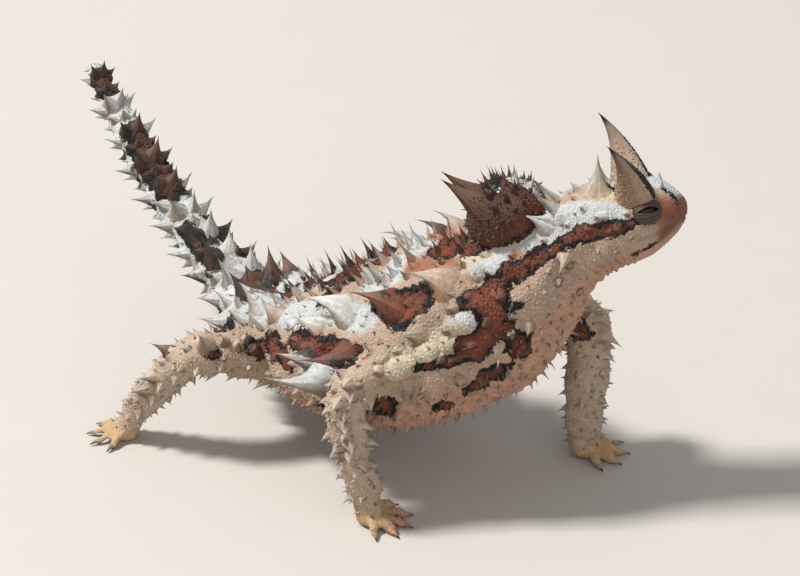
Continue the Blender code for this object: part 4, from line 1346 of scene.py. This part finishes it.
# %% Markings group
PALE, BLUISH, CREAM_COLOUR = colour(172, 148, 128), colour(184, 187, 184), colour(188, 176, 150)
# The belly colour is partly the belly's own pale colour and partly painted shade warmed by light reflected
# from the ground.
BELLY_IN_REFLECTED_LIGHT, WARM_COLOUR = colour(184, 142, 118), colour(150, 98, 70)
BLACK, RED_BROWN, DUSK_BROWN = colour(24, 19, 18), colour(116, 60, 42), colour(78, 54, 43)
MASK_COLOUR = colour(120, 72, 54)


def markings_group():
    group = bpy.data.node_groups.new("Markings", "ShaderNodeTree")
    names = ("Blotch", "White", "Cream", "Warm", "Mask", "Belly", "Dusk")
    for name in names:
        group.interface.new_socket(name, in_out="INPUT", socket_type="NodeSocketFloat")
    group.interface.new_socket("Color", in_out="OUTPUT", socket_type="NodeSocketColor")
    taken = add_node(group, "NodeGroupInput").outputs
    wobble = calc(group, "MULTIPLY", calc(group, "SUBTRACT", object_noise(group, 420.0, 5.0, 0.65), 0.5), 4.6)
    edge = calc(group, "MULTIPLY", step_between(group, object_noise(group, 300.0, 2.0), 0.35, 0.65), 1.1)
    cloudy = object_noise(group, 160.0, 4.0)
    ground = blend_colours(group, taken["White"], PALE, BLUISH)
    ground = blend_colours(group, taken["Cream"], ground, CREAM_COLOUR)
    # The underside takes the belly colour: its own paleness plus painted warm reflected light and shade.
    ground = blend_colours(group, taken["Belly"], ground, BELLY_IN_REFLECTED_LIGHT)
    ground = blend_colours(group, taken["Warm"], ground, WARM_COLOUR)
    smear = calc(group, "MULTIPLY", taken["Mask"], step_between(group, cloudy, 0.25, 0.5))
    ground = blend_colours(group, smear, ground, MASK_COLOUR)
    mottle = step_between(group, cloudy, 0.45, 0.7)
    ground = blend_colours(group, calc(group, "MULTIPLY", mottle, 0.45), ground, colour(140, 116, 98))
    fine = step_between(group, object_noise(group, 1300.0, 2.0), 0.5, 0.72)
    ground = blend_colours(group, calc(group, "MULTIPLY", fine, 0.3), ground, colour(112, 92, 80))
    brown = blend_colours(group, taken["Dusk"], RED_BROWN, DUSK_BROWN)
    flecks = calc(group, "MULTIPLY", object_noise(group, 900.0), scaled(group, taken["Dusk"], -0.42, 0.5))
    brown = blend_colours(group, flecks, brown, colour(140, 82, 60))
    depth = calc(group, "ADD", taken["Blotch"], wobble)
    painted = blend_colours(group, step_between(group, depth, -0.15, 0.15), ground, BLACK)
    edge = calc(group, "ADD", edge, taken["Dusk"])
    inside = calc(group, "SUBTRACT", depth, edge)
    inner = step_between(group, inside, 0.1, 0.6)
    deep, clouds = step_between(group, inside, 0.4, 2.6), step_between(group, cloudy, 0.35, 0.62)
    darker = blend_colours(group, 0.55, brown, colour(58, 34, 28))
    brown = blend_colours(group, calc(group, "MULTIPLY", deep, clouds), darker, brown)
    painted = blend_colours(group, inner, painted, brown)
    result = add_node(group, "NodeGroupOutput")
    group.links.new(painted, result.inputs["Color"])
    return group


MARKINGS = markings_group()


def painted(tree):
    inputs = {name.capitalize(): attribute(tree, name) for name in MARKS}
    node = tree.nodes.new("ShaderNodeGroup")
    node.node_tree = MARKINGS
    for name, socket in inputs.items():
        tree.links.new(socket, node.inputs[name])
    return node.outputs["Color"]


def bump(tree, height, distance):
    return add_node(tree, "ShaderNodeBump", {"Height": height, "Distance": distance}).outputs[0]


print("colours shared by skin, scales and thorns: 1 group")

# %% [markdown]
# ## Materials
# Dry skin is rough, and it is darkened a little as painted shade between the scales. A scale's crown is
# painted lighter than its rim as a painted highlight, and only the eye is wet. A thorn grows pale and
# then dark at the tip, and its underside is painted darker and browner as painted shade.


# %% Skin and scale materials
def skin_material():
    material, tree, shader = start_material("Skin", Roughness=0.72, Specular_IOR_Level=0.3)
    base = painted(tree)
    on_foot = scaled(tree, attribute(tree, "foot"), 0.7)
    tan = blend_colours(tree, on_foot, base, colour(182, 146, 98))
    # The skin lies under and between the scales, so all of it is darkened a little: painted shade between
    # them.
    shade_between_scales = blend_colours(tree, 0.16, tan, colour(96, 76, 62), "MULTIPLY")
    tree.links.new(shade_between_scales, shader.inputs["Base Color"])
    tree.links.new(bump(tree, object_noise(tree, 1500.0), 0.0002), shader.inputs["Normal"])
    return material


def scale_material():
    material, tree, shader = start_material("Scales", Roughness=0.7, Specular_IOR_Level=0.16)
    base = painted(tree)
    on_foot, on_horn = scaled(tree, attribute(tree, "foot"), 0.7), scaled(tree, attribute(tree, "horn"), 0.75)
    base = blend_colours(tree, on_foot, base, colour(186, 150, 100))
    base = blend_colours(tree, on_horn, base, colour(128, 108, 86))
    # The crown of each scale is painted a little lighter than its rim: a painted highlight.
    crown_highlight = scaled(tree, attribute(tree, "tip"), 0.06, 0.82)
    tone = scaled(tree, attribute(tree, "tone"), 0.3)
    bright = calc(tree, "ADD", crown_highlight, tone)
    lit = add_node(tree, "ShaderNodeHueSaturation", {"Color": base, "Value": bright}).outputs[0]
    tree.links.new(lit, shader.inputs["Base Color"])
    tree.links.new(bump(tree, object_noise(tree, 3000.0), 0.00008), shader.inputs["Normal"])
    return material


def thorn_material(name, pale, dark, dark_from, paleness, hold=0.8):
    material, tree, shader = start_material(name, Roughness=0.6, Specular_IOR_Level=0.25)
    tip, tone = attribute(tree, "tip"), attribute(tree, "tone")
    on_patch = step_between(tree, attribute(tree, "blotch"), -0.6, 0.8)
    paling = scaled(tree, step_between(tree, tip, 0.15, 0.75), paleness)
    paling = calc(tree, "MULTIPLY", paling, scaled(tree, on_patch, -hold, 1.0))
    body = blend_colours(tree, paling, painted(tree), pale)
    ridges = calc(tree, "SINE", calc(tree, "MULTIPLY", attribute(tree, "turn"), 9.0))
    grooves = scaled(tree, step_between(tree, ridges, 0.2, 1.0), 0.16)
    body = blend_colours(tree, grooves, body, colour(120, 92, 70))
    # The underside is painted darker and browner: painted shade.
    shaded = calc(tree, "MULTIPLY", attribute(tree, "under"), 0.8)
    body = blend_colours(tree, shaded, body, colour(172, 142, 112), "MULTIPLY")
    grain = step_between(tree, object_noise(tree, 900.0, 4.0), 0.42, 0.68)
    body = blend_colours(tree, calc(tree, "MULTIPLY", grain, 0.3), body, colour(104, 84, 68))
    reach = calc(tree, "ADD", tip, scaled(tree, tone, 0.12))
    ends = step_between(tree, reach, dark_from, dark_from + 0.14)
    body = blend_colours(tree, ends, body, dark)
    bright = scaled(tree, tone, 0.3, 0.85)
    lit = add_node(tree, "ShaderNodeHueSaturation", {"Color": body, "Value": bright}).outputs[0]
    tree.links.new(lit, shader.inputs["Base Color"])
    height = calc(tree, "ADD", calc(tree, "MULTIPLY", ridges, 0.3), object_noise(tree, 1400.0))
    tree.links.new(bump(tree, height, 0.00012), shader.inputs["Normal"])
    return material


def lid_material():
    material, tree, shader = start_material("Lids", Roughness=0.55, Specular_IOR_Level=0.4)
    # Darker in the valleys of the wrinkles and lighter on their ridges: painted shade.
    wrinkle_shade = blend_colours(tree, attribute(tree, "wrinkle_shade"), colour(50, 34, 29), colour(88, 66, 56))
    cloudy = scaled(tree, object_noise(tree, 1800.0), 0.6)
    mottled = blend_colours(tree, cloudy, wrinkle_shade, colour(52, 36, 31))
    tree.links.new(mottled, shader.inputs["Base Color"])
    tree.links.new(bump(tree, object_noise(tree, 2500.0), 0.0001), shader.inputs["Normal"])
    return material


def eye_material():
    material, tree, shader = start_material("Eye", Roughness=0.12, Specular_IOR_Level=0.3)
    around = attribute(tree, "iris")
    shade = blend_colours(tree, step_between(tree, around, 14, 17), colour(4, 3, 3), colour(74, 40, 20))
    shade = blend_colours(tree, step_between(tree, around, 32, 38), shade, colour(26, 15, 11))
    flecks = scaled(tree, object_noise(tree, 2600.0), 0.5)
    fleck = blend_colours(tree, flecks, shade, colour(20, 11, 8))
    tree.links.new(fleck, shader.inputs["Base Color"])
    return material


SKIN_LOOK, SCALE_LOOK = skin_material(), scale_material()
LIMB_THORN_LOOK = thorn_material("Limb_thorns", colour(190, 186, 178), colour(92, 68, 56), 0.95, 0.8)
THORN_LOOK = thorn_material("Thorns", colour(186, 180, 168), colour(70, 44, 36), 0.9, 0.5)
HORN_LOOK = thorn_material("Horns", colour(126, 112, 94), colour(38, 20, 16), 0.84, 0.8, 0.95)
KNOB_HORN_LOOK = thorn_material("Knob_horns", colour(122, 94, 72), colour(38, 20, 16), 0.84, 0.85, 0.35)
CLAW_LOOK = thorn_material("Claws", colour(150, 120, 84), colour(50, 34, 26), 0.75, 0.8)
LID_LOOK, EYE_LOOK = lid_material(), eye_material()
print("materials:", len(bpy.data.materials))

# %% [markdown]
# ## Dress the frame
# The skin stands for all the flesh, the eyeballs for the solid eyes. Everything rides on the one
# body, because the model is still.

# %% Ride and replace
FLESH = [n for n in frame["nodes"] if not n.startswith("eye_")]
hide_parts(*FLESH)
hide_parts("eye_right")
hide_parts("eye_left")
LOOKS = [
    (skin, SKIN_LOOK, "skin"),
    (thorns, THORN_LOOK, "skin"),
    (limb_thorns, LIMB_THORN_LOOK, "limbs"),
    (brow_horns, HORN_LOOK, "head"),
    (knob_horns, KNOB_HORN_LOOK, "knob"),
    (comb_thorns, THORN_LOOK, "knob"),
    (spinelets, LIMB_THORN_LOOK, "skin"),
    (claws, CLAW_LOOK, "feet"),
]
for piece in scale_objects:
    LOOKS.append((piece, SCALE_LOOK, "limbs" if piece.name in ("scales_arms", "scales_legs") else "skin"))
LOOKS += [(piece, SCALE_LOOK, "head") for piece in (lid_scales, *horn_scales)]
LOOKS += [(piece, LID_LOOK, "head") for piece in lids] + [(piece, EYE_LOOK, "eyes") for piece in eyes]
for piece, look, slot_name in LOOKS:
    piece.data.materials.clear()
    piece.data.materials.append(look)
    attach(piece, "root")
print("triangles in all:", sum(triangle_count(piece) for piece, _, _ in LOOKS))

# %% [markdown]
# ## Floor, light and camera
# A pale floor, a key light from the upper left as in the photo, a wide weak fill and a pale sky. The
# key stands far off, so that the floor under it is lit evenly. The camera looks down on the animal's
# right side from the front.

# %% Floor
clear_selection()
bpy.ops.mesh.primitive_plane_add(size=6.0)
floor = bpy.context.active_object
floor.name = "floor"
floor_look, tree, shader = start_material("Floor", Roughness=0.9, Specular_IOR_Level=0.1)
cloudy = scaled(tree, object_noise(tree, 60.0), 0.2)
paper = blend_colours(tree, cloudy, colour(186, 180, 172), colour(176, 169, 160))
tree.links.new(paper, shader.inputs["Base Color"])
floor.data.materials.append(floor_look)


# %% Lights
def area_light(name, place, power, size, aim=(0, 0, 0.03)):
    clear_selection()
    bpy.ops.object.light_add(type="AREA", location=place)
    light = bpy.context.active_object
    light.name = name
    light.data.energy = power
    light.data.size = size
    light.rotation_mode = "QUATERNION"
    light.rotation_quaternion = (Vector(aim) - Vector(place)).to_track_quat("-Z", "Y")
    return light


area_light("key", (-0.85, -0.4, 1.55), 47.0, 0.275)
area_light("fill", (1.1, -0.95, 0.7), 6.4, 1.6)
world = bpy.data.worlds.new("Studio")
world.use_nodes = True
world.node_tree.nodes["Background"].inputs["Color"].default_value = (0.93, 0.95, 1.0, 1.0)
world.node_tree.nodes["Background"].inputs["Strength"].default_value = 0.5
bpy.context.scene.world = world
bpy.context.scene.view_settings.view_transform = "Standard"

# %% Camera
AZIMUTH, ELEVATION, DISTANCE, FOCAL_PIXELS = 25.0, 30.0, 700.0, 3570.0
AIM = np.array([0, 0, 36.0])
SENSOR, PHOTO_WIDTH = 36.0, 800
a, e = math.radians(AZIMUTH), math.radians(ELEVATION)
back = np.array([math.sin(a) * math.cos(e), -math.cos(a) * math.cos(e), math.sin(e)])
clear_selection()
bpy.ops.object.camera_add(location=(AIM + SHIFT + back * DISTANCE) * MM)
camera = bpy.context.active_object
camera.rotation_mode = "QUATERNION"
camera.rotation_quaternion = Vector(-back).to_track_quat("-Z", "Y")
camera.data.sensor_width = SENSOR
camera.data.lens = FOCAL_PIXELS / PHOTO_WIDTH * SENSOR
camera.data.clip_start, camera.data.clip_end = 0.05, 10
bpy.context.scene.camera = camera
print("lens, mm:", round(camera.data.lens, 1))
